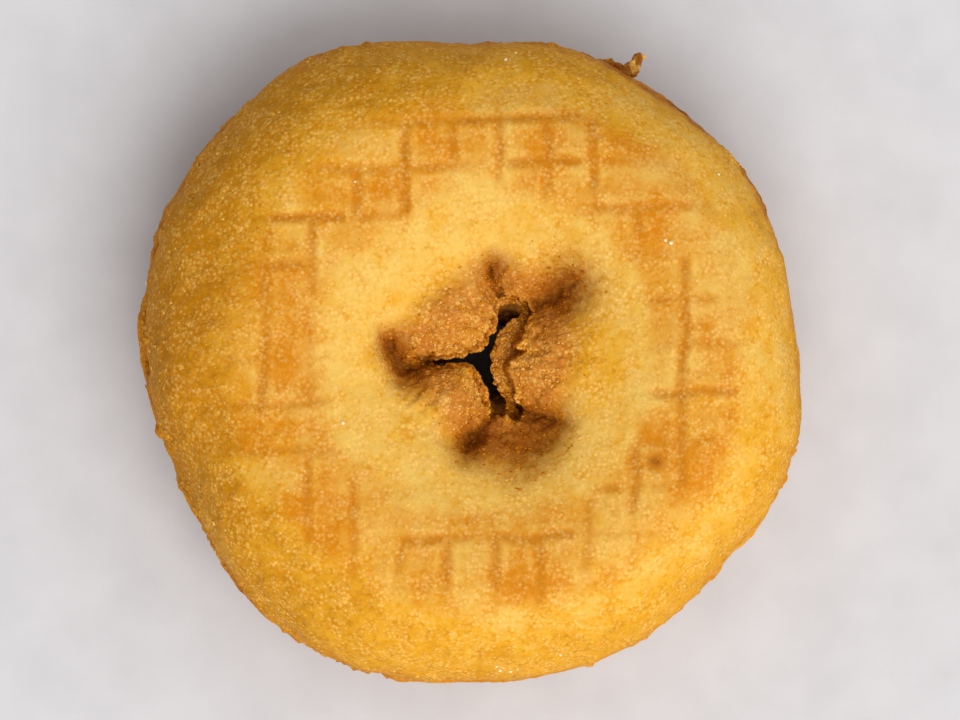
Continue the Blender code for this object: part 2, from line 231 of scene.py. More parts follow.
LEVEL_PRESSES = [Press(*row) for row in (
    (5, -3.0, -0.6, 0.6), (5, -0.9, 1.2, 0.8), (5, 1.2, 2.3, 0.5),
    (4, -3.9, -1.9, 0.6), (4, -1.9, -0.6, 0.7), (4, 0.1, 1.8, 1.0),
    (4, 2.0, 3.2, 0.5), (3, -4.9, -3.3, 1.0), (3, -3.0, -2.0, 0.6),
    (3, 2.0, 4.2, 0.8),
    (2, -5.0, -4.1, 1.0), (1, 3.3, 4.8, 0.5), (0, -5.9, -5.0, 0.4),
    (0, 4.0, 5.3, 0.4), (-1, -5.9, -2.9, 0.6), (-1, 3.3, 5.3, 0.9),
    (-2, -5.9, -3.2, 0.4), (-2, 4.0, 4.8, 0.5), (-3, 1.9, 2.7, 0.7),
    (-4, -2.0, -0.5, 0.8), (-4, 0.1, 1.7, 0.9), (-4, 1.9, 3.1, 0.3),
    (-5, -2.2, 1.4, 0.25),
)]

# Deeper orange stains in the screen's squares: place, spread and strength.
Stain = namedtuple("Stain", "x y spread strength")


def in_mm(*stains):
    """Stains whose places and spreads are given in mm."""
    return [Stain(x * MM, y * MM, spread * MM, strength) for x, y, spread, strength in stains]


STAINS = in_mm(
    (-11.6, 23.0, 3.4, 1.0),
    (-3.0, 29.0, 6.0, 0.45),
    (12.0, 29.0, 6.0, 0.45),
    (24.0, 21.5, 5.8, 0.85),
    (-25.5, 11.0, 4.2, 0.7),
    (-24.0, -3.5, 5.6, 0.75),
    (-20.5, -19.5, 5.4, 0.7),
    (-6.5, -27.0, 5.0, 0.6),
    (8.5, -26.5, 5.4, 0.9),
    (25.0, -11.0, 3.8, 1.1),
    (30.5, -17.0, 4.0, 0.5),
    (31.0, 4.0, 4.0, 0.6),
)
# Dark brown spots: on the right, a burnt spot on the crust; in the dip at the upper right and
# along the gap's left arm, browning and painted shade together.
BURNT_AND_SHADED_SPOTS = in_mm(
    (25.3, -13.6, 1.2, 0.6),
    (13.2, 10.4, 4.0, 1.0),     # the dip at the upper right of the hole
    (-5.4, -0.2, 1.7, 0.9),     # the left arm's end
    (-2.6, -0.6, 1.2, 0.7),
)


def linear(red, green, blue):
    """A colour from 0-255 screen values to the linear values that Blender's shaders use."""
    values = []
    for value in (red, green, blue):
        share = value / 255
        values.append(share / 12.92 if share <= 0.04045 else ((share + 0.055) / 1.055) ** 2.4)
    return tuple(values)


def colour_property(name, description, values):
    """A colour setting."""
    return FloatVectorProperty(
        name=name, description=description, subtype="COLOR", size=3, min=0, max=1,
        default=linear(*values),
    )


def length_property(name, description, value):
    """A length setting, in metres."""
    return FloatProperty(
        name=name, description=description, subtype="DISTANCE", unit="LENGTH", min=0,
        default=value, precision=5,
    )


class DoughnutSurface(bpy.types.PropertyGroup):
    grain_height: length_property("Grain", "Height of the crust's grain", 0.13 * MM)
    crater_roughness: length_property("Crater", "Height of the crumbs round the hole", 0.42 * MM)
    mark_depth: length_property("Screen marks", "Depth of the screen's marks", 0.24 * MM)
    seam_depth: length_property("Seam", "Depth of the cleft at the waist", 0.75 * MM)
    grain_count: IntProperty(
        name="Grains", description="How many loose grains sit in the crust",
        default=8000, min=0, max=9800,
    )
    crumb_count: IntProperty(
        name="Crumbs", description="How many crumbs cling round the hole",
        default=4800, min=0, max=9800,
    )
    seed: IntProperty(name="Seed", description="Changes where grains and crumbs fall", default=7)


class DoughnutColours(bpy.types.PropertyGroup):
    pale: colour_property("Pale crust", "Where the doughnut fried least", (219, 177, 85))
    golden: colour_property("Golden crust", "The crown's outer slope", (214, 154, 30))
    amber: colour_property("Amber crust", "The deep yellow flanks", (182, 120, 3))
    orange: colour_property("Orange crust", "Under the screen and by the hole", (198, 122, 10))
    pressed: colour_property("Pressed crust", "Right under the screen's wires", (180, 110, 10))
    toast: colour_property("Toasted grains", "The grains of the brown folds", (196, 128, 54))
    tan: colour_property("Tan crust", "On the pads round the hole", (184, 110, 33))
    # On the crust's folds and dips this brown also stands for painted shade.
    brown: colour_property("Brown crust", "In the folds and along the seam", (146, 78, 12))
    # On the crust this dark is painted shade over browned crust: down the hole, in the seam's
    # cleft and in the deepest folds.
    dark: colour_property("Dark crust", "Down the hole", (60, 28, 7))
    torn: colour_property("Torn crumb", "The crumbs round the hole", (228, 168, 88))
    crisp: colour_property("Crisp scrap", "The scrap of batter at the waist", (158, 102, 36))
    crumb: colour_property("Pale grains", "The grains of the pale crust", (246, 208, 126))
    grain: colour_property("Deeper grains", "The darker loose grains", (206, 146, 52))
    froth: colour_property("Golden grains", "The grains of the golden flanks", (232, 180, 84))
    sugar: colour_property("Sugar", "Stray sugar and flour", (234, 216, 192))
    paper: colour_property("Table", "The pale surface underneath", (201, 199, 200))


# --- Numbers: curves and noise -------------------------------------------------------


def between(before, start, end, after, share):
    """A point on the smooth (Catmull-Rom) curve from start to end."""
    bend = 2 * before - 5 * start + 4 * end - after
    twist = 3 * start - before - 3 * end + after
    return start + 0.5 * share * (end - before + share * (bend + share * twist))


def smooth_step(low, high, values):
    """0 below low and 1 above high, with a smooth S between them."""
    share = np.clip((values - low) / (high - low), 0, 1)
    return share * share * (3 - 2 * share)


def bell(values, width):
    """1 where values are 0, falling away to each side as a bell of that half width."""
    return np.exp(-((values / width) ** 2))


def lattice_random(x, y, z, salt):
    """A repeatable random number from 0 to 1 for each whole-number place."""
    mixed = x * 374761393 + y * 668265263 + z * 362437411 + salt * 974711
    mixed = (mixed ^ (mixed >> 13)) & 0x7FFFFFFF
    mixed = (mixed * 1274126177) & 0x7FFFFFFF
    mixed = ((mixed ^ (mixed >> 15)) * 461845907) & 0x7FFFFFFF
    return ((mixed >> 7) & 0xFFFF) / 0xFFFF


def soft_noise(points, size, salt):
    """Random values at the corners of cubes of that size, blended smoothly: -1 to 1."""
    scaled = points / size
    cell = np.floor(scaled).astype(np.int64)
    share = scaled - cell
    share = share * share * (3 - 2 * share)
    total = np.zeros(points.shape[:-1])
    for corner in range(8):
        steps = (corner & 1, corner >> 1 & 1, corner >> 2 & 1)
        weight = np.ones(points.shape[:-1])
        for axis, step in enumerate(steps):
            weight *= share[..., axis] if step else 1 - share[..., axis]
        total += weight * lattice_random(*(cell[..., a] + steps[a] for a in range(3)), salt)
    return 2 * total - 1


def grainy(points, size, salt):
    """How far each point is from the nearest of one random seed to a cube, in cubes."""
    scaled = points / size
    cell = np.floor(scaled).astype(np.int64)
    nearest = np.full(points.shape[:-1], 9.0)
    for corner in range(27):
        near = [cell[..., 0] + corner % 3 - 1, cell[..., 1] + corner // 3 % 3 - 1,
                cell[..., 2] + corner // 9 - 1]
        away = np.zeros(points.shape[:-1])
        for axis in range(3):
            seed = near[axis] + lattice_random(*near, salt + axis)
            away += (scaled[..., axis] - seed) ** 2
        np.minimum(nearest, away, out=nearest)
    return np.sqrt(nearest)


# --- The skin -------------------------------------------------------------------------


def lobe_sum(angle, lobes):
    """How far the lobes move a ring in or out at each angle, in metres."""
    total = np.zeros_like(angle)
    for lobe in lobes:
        away = (np.degrees(angle) - lobe.direction + 180) % 360 - 180
        total += lobe.out * bell(away, lobe.spread)
    return total


def gap_edges(count):
    """The lip and the ledge as count pairs of points, evenly spaced along the lip."""
    named = np.array(GAP_EDGES) * MM
    shares = np.linspace(0, 1, LIP_SAMPLES, endpoint=False)[:, None, None]
    around = [np.roll(named, -step, axis=0) for step in (-1, 0, 1, 2)]
    fine = between(*around, shares).swapaxes(0, 1).reshape(-1, 4)
    fine = np.concatenate((fine, fine[:1]))
    steps = np.hypot(np.diff(fine[:, 0]), np.diff(fine[:, 1]))
    along = np.concatenate(((0.0,), np.cumsum(steps)))
    wanted = np.linspace(0, along[-1], count, endpoint=False)
    return np.array([np.interp(wanted, along, column) for column in fine.T]).T


def station_ring(station, edges):
    """One station's ring: its radius with the waist's lobes, round a centre that slides
    from the hole's to the middle.  Near the hole its points are spaced as on the lip."""
    ring = np.empty((len(edges), 3))
    ring[:, 2] = station.height
    if station.radius is None:
        ring[:, :2] = HOLE_CENTRE + (edges[:, :2] if station.name == "lip" else edges[:, 2:])
        return ring
    lip_angle = np.unwrap(np.arctan2(edges[:, 1], edges[:, 0]))
    even_angle = lip_angle[0] + np.linspace(0, 2 * math.pi, len(edges), endpoint=False)
    evenness = min(1.0, station.radius / CRATER_RADIUS)
    angle = lip_angle + (even_angle - lip_angle) * evenness
    radius = station.radius + station.lobes * lobe_sum(angle, WAIST_LOBES)
    if station.name in ("flank", "groove"):
        radius = radius - lobe_sum(angle, (COLLAR_LOBE,))
    if station.radius < CROWN_RADIUS:
        inwards = 1 - station.radius / CROWN_RADIUS
        centre = CROWN_CENTRE + (HOLE_CENTRE - CROWN_CENTRE) * inwards
    else:
        outwards = (station.radius - CROWN_RADIUS) / (WAIST_RADIUS - CROWN_RADIUS)
        centre = CROWN_CENTRE * (1 - outwards)
    ring[:, 0] = centre[0] + radius * np.cos(angle)
    ring[:, 1] = centre[1] + radius * np.sin(angle)
    return ring


def crease_profile(x, y):
    """Depth of the creases at points given from the hole's centre.  Each is a fold with a
    sharp bottom: depth falls off as e to the minus distance over width."""
    total = np.zeros_like(x)
    fade = 1 - smooth_step(*CREASE_FADE, np.hypot(x, y))
    for crease in CREASES:
        nearest = np.full_like(x, np.inf)
        for start, end in zip(crease.points, crease.points[1:]):
            (x0, y0), (x1, y1) = np.array(start) * MM, np.array(end) * MM
            run_x, run_y = x1 - x0, y1 - y0
            share = ((x - x0) * run_x + (y - y0) * run_y) / (run_x**2 + run_y**2)
            share = np.clip(share, 0, 1)
            nearest = np.minimum(nearest, np.hypot(x - x0 - share * run_x, y - y0 - share * run_y))
        away = np.sqrt(nearest**2 + CREASE_BLUNT**2) - CREASE_BLUNT
        total = np.maximum(total, crease.depth * fade * np.exp(-away / crease.width))
    return total


def crater_relief(x, y):
    """Rise or fall of the crater's floor at points given from the hole's centre."""
    rise = -crease_profile(x, y)
    for swelling in SWELLINGS:
        squared = (x - swelling.x) ** 2 + (y - swelling.y) ** 2
        rise += swelling.rise * np.exp(-squared / swelling.spread**2)
    return rise


def unevenness(points):
    """Slow waves over the whole skin, as a distance at each point."""
    total = np.zeros(points.shape[:-1])
    for wave in WAVES:
        along = points @ np.array((wave.x, wave.y, wave.z))
        total += wave.height * np.sin(2 * math.pi * along / wave.length + wave.phase)
    return total


class Skin:
    """The smooth skin as a grid of points, with what is known of each point."""

    def __init__(self, sections, columns):
        """sections: how far round the cross-section each row lies, in stations."""
        edges = gap_edges(columns)
        rings = np.array([station_ring(station, edges) for station in STATIONS])
        shares = np.array([(s.lobes, s.relief) for s in STATIONS])[:, None, :]
        count = len(STATIONS)
        index = np.floor(sections).astype(int)
        share = (sections - index)[:, None, None]
        near = [(index + step) % count for step in (-1, 0, 1, 2)]
        points = between(*(rings[n] for n in near), share)
        weights = between(*(shares[n] for n in near), share)
        x, y = points[..., 0] - HOLE_CENTRE[0], points[..., 1] - HOLE_CENTRE[1]
        points[..., 2] += weights[..., 1] * crater_relief(x, y)
        lump = unevenness(points)
        outwards = points[..., :2] / np.linalg.norm(points[..., :2], axis=-1)[..., None]
        points[..., :2] += outwards * (WAVE_OUTWARDS * weights[..., 0] * lump)[..., None]
        points[..., 2] += WAVE_UPWARDS * lump
        points[..., 2] = np.maximum(points[..., 2], 0.0)
        points[..., 2] *= CAD_HIGH[2] / points[..., 2].max()
        low, high = points.min(axis=(0, 1)), points.max(axis=(0, 1))
        shift = (low[:2] + high[:2]) / 2
        points[..., :2] -= shift
        self.points = points
        self.section = np.broadcast_to(sections[:, None] % count, points.shape[:2])
        self.from_lip = np.minimum(self.section, count - self.section)
        self.normals = self.find_normals()
        self.x, self.y = points[..., 0], points[..., 1]
        self.angle = np.arctan2(self.y, self.x)
        self.crown_radius = np.hypot(self.x - CROWN_CENTRE[0], self.y - CROWN_CENTRE[1])
        from_hole = points[..., :2] + shift - HOLE_CENTRE
        self.hole_x, self.hole_y = from_hole[..., 0], from_hole[..., 1]
        self.hole_radius = np.hypot(self.hole_x, self.hole_y)
        self.outer = self.is_between("shoulder", "heel")
        self.above_seam = self.seam_height()
        self.seam = self.seam_strength()

    def find_normals(self):
        """Outward normals: the cross product of the steps along a row and across rows."""
        along = np.roll(self.points, -1, axis=1) - np.roll(self.points, 1, axis=1)
        across = np.roll(self.points, -1, axis=0) - np.roll(self.points, 1, axis=0)
        normal = np.cross(across, along)
        return normal / np.maximum(np.linalg.norm(normal, axis=-1), 1e-12)[..., None]

    def is_between(self, first, last):
        """Whether each point lies between two stations."""
        return (self.section > STATION_AT[first]) & (self.section < STATION_AT[last])

    def seam_height(self):
        """How far above the seam each point is.  The seam wanders up and down the waist."""
        wander = 0.5 * np.sin(3 * self.angle + 0.7) + 0.35 * np.sin(7 * self.angle + 2.0)
        ragged = soft_noise(self.points * (1, 1, 0.2), 1.6 * MM, 31) * 0.35
        return self.points[..., 2] - (SEAM_HEIGHT + wander + ragged) * MM

    def seam_strength(self):
        """The seam is open on the left and lower left, and nearly shut elsewhere."""
        patchy = 0.5 + 0.5 * soft_noise(self.points * (1, 1, 0), 5.0 * MM, 17)
        return np.clip(0.2 + lobe_sum(self.angle, SEAM_OPEN) * (0.2 + 1.3 * patchy**1.5), 0, 1)


def screen_marks(skin):
    """The woven screen's print: near 1 under a wire that pressed hard, 0 between wires; the
    pale ridge of dough beside it; the stain around it; and each point's place in pitches.

    A wire is a bell-shaped groove, and wires of each family are SCREEN_PITCH apart.  Each
    prints faintly along its whole length, and strongly where the presses say so."""
    x, y, points = skin.x, skin.y, skin.points
    across = (x - SCREEN_LEAN[0] * y - SCREEN_START[0]) / SCREEN_PITCH
    up = (y - SCREEN_LEAN[1] * x - SCREEN_START[1]) / SCREEN_PITCH
    wobble = 0.05 * soft_noise(points, 4 * MM, 61)
    mark, ridge, halo = np.zeros_like(x), np.zeros_like(x), np.zeros_like(x)
    for wire_side, along, presses in ((across + wobble, up, UPRIGHT_PRESSES),
                                      (up + wobble, across, LEVEL_PRESSES)):
        wire = np.round(wire_side)
        off_wire = (wire_side - wire) * SCREEN_PITCH
        strength = np.full_like(x, FAINT_PRINT)
        for press in presses:
            started = smooth_step(press.start - PRESS_FADE, press.start + PRESS_FADE, along)
            ended = smooth_step(press.end - PRESS_FADE, press.end + PRESS_FADE, along)
            inside = started * (1 - ended) * (wire == press.wire)
            strength = np.maximum(strength, inside * press.strength)
        strength = strength * (0.8 + 0.4 * soft_noise(points, 2.2 * MM, 62))
        mark = np.maximum(mark, strength * bell(off_wire, MARK_WIDTH))
        ridge = np.maximum(ridge, strength * bell(np.abs(off_wire) - 2.1 * MARK_WIDTH, MARK_WIDTH))
        halo = np.maximum(halo, strength * bell(off_wire + 0.5 * MARK_WIDTH, 2.6 * MARK_WIDTH))
    return mark, ridge * (1 - mark), halo, across, up


def mark_ring(skin):
    """Where the crown pressed on the screen: a ring with an uneven edge."""
    uneven = 1.8 * MM * soft_noise(skin.points, 9 * MM, 5)
    radius = skin.crown_radius + (uneven + 0.6 * MM * soft_noise(skin.points, 3 * MM, 6))
    inside = smooth_step(MARK_INNER_RADIUS - 1.5 * MM, MARK_INNER_RADIUS + 1.5 * MM, radius)
    return inside * (1 - smooth_step(MARK_OUTER_RADIUS - 2.5 * MM, MARK_OUTER_RADIUS + 1.5 * MM,
                                     radius))


# --- The crust's colours ----------------------------------------------------------------

# Radii are from the crown's middle, and heights from the seam.
PALEST_RADIUS = 22 * MM
GOLDEN_REACH = (3 * MM, 19 * MM)            # how far from there the crust turns golden
# The amber side lies on the left and top, away from the lamps, and the pale side on the right,
# towards them.  Each is partly the crust's own tone and partly painted light: painted shade on the
# amber side, painted light on the pale side.
AMBER_AND_SHADED_SIDE, AMBER_REACH = (Lobe(165, 70, 0.95), Lobe(75, 40, 0.12)), (30 * MM, 42 * MM)
PALE_AND_LIT_SIDE, PALE_REACH = (Lobe(-5, 75, 1.0), Lobe(50, 22, 0.7)), (26 * MM, 36 * MM)
PALE_END = (38 * MM, 44 * MM)
GOLDEN_PATCH = Stain(17 * MM, 1 * MM, 7 * MM, 0.2)
BROWNED_FADE = (4.0 * MM, 0.8 * MM)         # how far inside and outside its edge it fades
# The brown of the dips and folds is partly browned crust and partly painted shade.
BROWN_DIP, BROWN_FOLD = -3.4 * MM, 3.2 * MM     # how deep they are when all brown
LEFT_SIDE, LEFT_REACH = (Lobe(178, 32, 0.2),), (30 * MM, 40 * MM)
CRISP_SIDE = (Lobe(48, 30, 0.75),)
BROWN_SEAM_LOW, BROWN_SEAM_HIGH = (-6.5 * MM, -1.5 * MM), (-0.2 * MM, 1.0 * MM)


def how_golden(skin, clump, small):
    """How deep the yellow is, and how far each point is on the amber side.  The yellow is
    palest on the crest and deeper towards the hole and down the flanks.  It is also painted
    deeper on the left and top, away from the lamps, and paler on the right, towards them:
    partly the crust's own tone, partly painted shade and painted light."""
    from_crest = np.abs(skin.crown_radius - PALEST_RADIUS) + 2.2 * MM * clump + 0.8 * MM * small
    golden = 0.16 + 0.5 * smooth_step(*GOLDEN_REACH, from_crest)
    # deeper is partly painted shade on the side away from the lamps, and the pale share below is
    # partly painted light on the side towards them.
    deeper = np.clip(lobe_sum(skin.angle, AMBER_AND_SHADED_SIDE), 0, 1)
    golden += deeper * 0.5 * smooth_step(*AMBER_REACH, skin.crown_radius + 2 * MM * clump)
    pale_and_lit = np.clip(lobe_sum(skin.angle, PALE_AND_LIT_SIDE), 0, 1)
    pale_and_lit = pale_and_lit * (1 - 0.9 * smooth_step(*PALE_END, skin.crown_radius + 1.5 * MM * clump))
    golden -= pale_and_lit * 0.3 * smooth_step(*PALE_REACH, skin.crown_radius)
    golden += 0.16 * small + 0.12 * clump + stains(skin, (GOLDEN_PATCH,))
    return np.where(skin.section < STATION_AT["flank"], golden, golden + 0.1), deeper


def stains(skin, spots):
    """The sum of round stains that fade outwards as bells."""
    return sum(spot.strength * bell(np.hypot(skin.x - spot.x, skin.y - spot.y), spot.spread)
               for spot in spots)


def browned_zone(skin, clump, small):
    """1 round the hole and 0 outside BROWNED_EDGE, with an uneven fade between them."""
    direction = np.degrees(np.arctan2(skin.hole_y, skin.hole_x)) % 360
    reach = np.interp(direction, *np.array(BROWNED_EDGE).T) * MM
    radius = skin.hole_radius + (1.3 * MM * clump + 0.8 * MM * small)
    return 1 - smooth_step(reach - BROWNED_FADE[0], reach + BROWNED_FADE[1], radius)


def dips(skin):
    """How deep each point lies in the crater's dips and creases, as shares of all brown.
    That brown is partly the crust's browning and partly painted shade.
    """
    sunk = np.zeros_like(skin.x)
    for swelling in SWELLINGS:
        if swelling.rise < 0:
            away = np.hypot(skin.hole_x - swelling.x, skin.hole_y - swelling.y)
            sunk += swelling.rise / BROWN_DIP * bell(away, swelling.spread * 1.05)
    return sunk, crease_profile(skin.hole_x, skin.hole_y) / BROWN_FOLD


def waist_browns(skin, deeper, patches, clump, small):
    """The browns of the waist and the lower half: along the seam, under the shoulder, at the
    crisp side's edge and below the waist."""
    section = skin.section
    seam = skin.seam * (1 - smooth_step(*BROWN_SEAM_HIGH, skin.above_seam))
    seam = seam * smooth_step(*BROWN_SEAM_LOW, skin.above_seam) * skin.outer
    under_shoulder = smooth_step(STATION_AT["shoulder"] + 0.3, STATION_AT["groove"], section)
    under_shoulder = np.where(section < STATION_AT["waist"], under_shoulder, 0)
    edge = smooth_step(STATION_AT["flank"] - 0.4, STATION_AT["flank"] + 0.15, section)
    edge = np.where(section < STATION_AT["under flank"], edge, 0)
    lower = smooth_step(STATION_AT["under flank"], STATION_AT["heel"], section)
    lower = np.where(section > STATION_AT["upper throat"], 0, lower)
    return under_shoulder, np.maximum.reduce((
        0.46 * seam * patches,
        # Under the shoulder the brown grows on the amber side, partly as painted shade.
        (0.12 + 0.16 * deeper) * under_shoulder * (1 + 0.5 * small),
        lobe_sum(skin.angle, CRISP_SIDE) * edge * (0.8 + 0.5 * small + 0.4 * clump),
        lower * (0.28 + 0.2 * clump),
    ))


def browning(skin, settings):
    """What each point of the skin looks like, as shares from 0 to 1.

    golden: how deep the yellow is.  orange: under the screen.  pressed: under its wires.
    tan: round the hole.  brown: in the folds and along the seam; in the folds it is partly painted
    shade, and just below the lips it is painted shadow.  dark: painted shade over browned crust,
    down the hole, in the seam's cleft, at the bottom of the deepest folds and on the darkest
    spots.
    relief: height of the marks, in metres."""
    section, count = skin.section, len(STATIONS)
    upper = (section < STATION_AT["waist"]) | (section > STATION_AT["upper throat"])
    clump = soft_noise(skin.points, 5 * MM, 11)
    small = soft_noise(skin.points, 1.7 * MM, 12)
    patches = np.clip(0.05 + 2.0 * clump + 1.2 * small, 0.0, 1.2)
    golden, deeper = how_golden(skin, clump, small)
    under_shoulder, waist_brown = waist_browns(skin, deeper, patches, clump, small)

    mark, ridge, halo, across, up = screen_marks(skin)
    ring = mark_ring(skin)
    across, up = (np.floor(pitches).astype(np.int64) for pitches in (across, up))
    square = lattice_random(across, up, 0, 3)
    stained = stains(skin, STAINS)
    patchy = 0.75 + 0.45 * clump + 0.3 * small
    orange = ring * (0.35 * halo + 0.26 * square * patchy + 0.6 * stained * patchy
                     - 0.45 * ridge + 0.36 + 0.25 * clump) + 0.15 * stained
    orange = np.where(upper, orange, 0.4 * ring * mark + 0.3 + 0.3 * clump)
    orange = np.clip(orange + 0.10 * small, 0, 1)
    orange = np.maximum(orange, 0.5 * under_shoulder * (1 + clump))

    near_hole = browned_zone(skin, clump, small)
    tan = np.where(upper, np.clip(near_hole * (0.95 + 0.25 * small + 0.3 * clump), 0, 1), 0)
    rim = bell(section, 0.3) * np.clip(0.55 + 0.9 * soft_noise(skin.points, 1.4 * MM, 63), 0, 1)
    tan = tan * (1 - 0.6 * rim)

    sunk, folded = dips(skin)
    # Spots of burning, and of painted shade in the dip and beside the gap's left arm.
    burnt_and_shaded = np.maximum.reduce([stains(skin, (spot,)) for spot in BURNT_AND_SHADED_SPOTS])
    left = lobe_sum(skin.angle, LEFT_SIDE) * smooth_step(*LEFT_REACH, skin.crown_radius)
    # In the dips and folds brown is partly browned crust and partly painted shade.
    brown = np.clip(sunk + 0.75 * folded**1.4, 0, 1) + 0.14 * near_hole
    brown = np.where(upper, np.maximum.reduce((brown, burnt_and_shaded, left)), 0)
    # Painted shadow: a thin brown band just below each lip.
    below_lip = 0.6 * bell(section - (count - 0.18), 0.13)
    torn_face = 0.16 * bell(section - (count - 0.5), 0.38)
    brown = np.maximum.reduce((brown, waist_brown, torn_face, below_lip)) * (1 - 0.8 * rim)
    brown = np.clip(brown * (1 + 0.25 * small), 0, 1)

    down_hole = smooth_step(STATION_AT["underside"], STATION_AT["upper throat"], section)
    over_ledge = 1 - smooth_step(STATION_AT["ledge"] - 0.4, STATION_AT["ledge"] + 0.55, section)
    cleft = skin.seam * bell(skin.above_seam - 0.5 * MM, 0.55 * MM)
    # dark is painted shade over browned crust: down the hole, in the seam's cleft, at the bottom
    # of the deepest dips and folds, and on the burnt and shaded spots.
    dark = np.maximum.reduce((
        np.where(section > STATION_AT["underside"], np.minimum(down_hole, over_ledge), 0),
        np.where(skin.outer, 0.42 * cleft * np.minimum(patches, 1), 0),
        np.where(upper, 0.42 * smooth_step(0.8, 1.5, sunk + folded), 0),
        np.where(upper, 0.42 * burnt_and_shaded**3, 0),
    ))
    relief = np.where(upper, 1, 0.6) * ring * (0.35 * ridge - mark) * settings.mark_depth
    return {"golden": golden, "orange": orange, "pressed": np.where(upper, ring * mark, 0),
            "tan": tan, "brown": brown, "dark": np.clip(dark, 0, 1), "relief": relief}


# --- The crust's roughness ----------------------------------------------------------------

# A layer of random texture.  A soft one has blobs from -1 to 1; a crumbly one has rounded
# cells, and its level is where a cell's middle stands.  Each is times its share.
Layer = namedtuple("Layer", "kind size salt share level")
TEXTURES = {
    "fine grain": (Layer("crumbly", 1.1 * MM, 21, 0.9, 0.6), Layer("soft", 0.9 * MM, 22, 0.3, 0)),
    "slow lumps": (Layer("soft", 3.2 * MM, 23, 0.12, 0),),
    "crater crumb": (Layer("crumbly", 1.3 * MM, 24, 0.8, 0.62),
                     Layer("soft", 0.9 * MM, 25, 0.35, 0), Layer("soft", 2.4 * MM, 26, 0.5, 0)),
    "lip crumb": (Layer("crumbly", 0.7 * MM, 35, 0.5, 0.6),),
    "torn lip": (Layer("soft", 1.3 * MM, 27, 0.7, 0), Layer("soft", 0.6 * MM, 28, 0.45, 0)),
    "seam lip": (Layer("soft", 1.1 * MM, 29, 0.6, 0),),
    "edge lumps": (Layer("crumbly", 1.35 * MM, 36, 1, 0.62), Layer("soft", 2.4 * MM, 37, 0.45, 0)),
    "edge crumb": (Layer("crumbly", 0.85 * MM, 44, 1, 0.6),),
    "edge gathers": (Layer("soft", 3.4 * MM, 45, 1.3, 0),),
    "lip jags": (Layer("soft", 1.9 * MM, 33, 1, 0), Layer("soft", 0.75 * MM, 34, 0.8, 0)),
    "lip curl": (Layer("soft", 1.7 * MM, 39, 1, 0),),
    "ledge crumb": (Layer("crumbly", 0.95 * MM, 40, 1, 0.6),),
}
LEFT_EDGE = (Lobe(190, 60, 1.0),)       # where the seam's edge crumbles most
EDGE_INSET = 0.22                       # how far in the edge's bumps are moved, in mm
SEAM_LIP = 0.35 * MM
JAG_DEPTH = 0.45 * MM                   # the jags and curls of a torn lip
CURL_HEIGHT = 0.45 * MM
LEDGE_DROP = 2.8 * MM                   # how far the face below a torn lip drops away
TORN_SHELF = (0.7 * MM, 1.8 * MM)       # a ledge this wide shows that its lip is torn back
GAP_MIDDLE = (2.2 * MM, 4.6 * MM)       # the gap is opened inside these radii


def texture(points, name):
    """The sum of one texture's layers at each point."""
    total = 0
    for layer in TEXTURES[name]:
        if layer.kind == "soft":
            total = total + layer.share * soft_noise(points, layer.size, layer.salt)
        else:
            total = total + layer.share * (layer.level - grainy(points, layer.size, layer.salt))
    return total


def crust_bumps(skin, looks, settings):
    """How far each point of the crust but the edge moves along its normal: the marks, a fine
    grain that is coarser where it is golden, slow lumps, and crumb in the crater."""
    points, section = skin.points, skin.section
    coarser = 0.55 + 0.9 * np.clip(looks["golden"], 0, 1)
    move = looks["relief"] + settings.grain_height * 1.3 * texture(points, "fine grain") * coarser
    move += MM * texture(points, "slow lumps")
    upper = (section < STATION_AT["flank"]) | (section > STATION_AT["upper throat"])
    crater = np.where(upper, 1 - smooth_step(9 * MM, 15 * MM, skin.hole_radius), 0)
    crater = np.maximum(crater, np.where(skin.hole_radius < 20 * MM, looks["brown"], 0) * upper)
    crumb = 1.7 * texture(points, "crater crumb")
    crumb += 1.2 * texture(points, "lip crumb") * bell(skin.from_lip, 1.6)
    move += crater * settings.crater_roughness * crumb
    torn = bell(skin.from_lip, 0.75) * texture(points, "torn lip")
    return move + settings.crater_roughness * 1.3 * torn


def edge_bumps(skin, settings):
    """How far each point of the waist moves: in at the seam's cleft, out at the lip below
    it, and to and fro with gathered lumps, which crumble more and step on the left."""
    points, rise = skin.points, skin.above_seam
    cleft = skin.seam * bell(rise - 0.55 * MM, 0.6 * MM)
    lip = skin.seam * bell(rise + 0.5 * MM, 0.7 * MM) * (0.6 + texture(points, "seam lip"))
    edge = 0.4 + 0.6 * bell(rise + 1.0 * MM, 6 * MM)
    left = lobe_sum(skin.angle, LEFT_EDGE)
    steps = smooth_step(-0.1, 0.25, soft_noise(points * (1, 1, 0.5), 5 * MM, 38)) - 0.5
    gathered = np.clip(0.5 + texture(points, "edge gathers"), 0, 1.3)
    bumps = 0.75 * texture(points, "edge lumps") + 1.1 * left * texture(points, "edge crumb")
    bumps = gathered * bumps + 0.6 * left * steps - EDGE_INSET
    move = -settings.seam_depth * cleft + SEAM_LIP * lip
    return np.where(skin.outer, move + edge * (bumps * MM + lobe_sum(skin.angle, EDGE_LOBES)), 0)


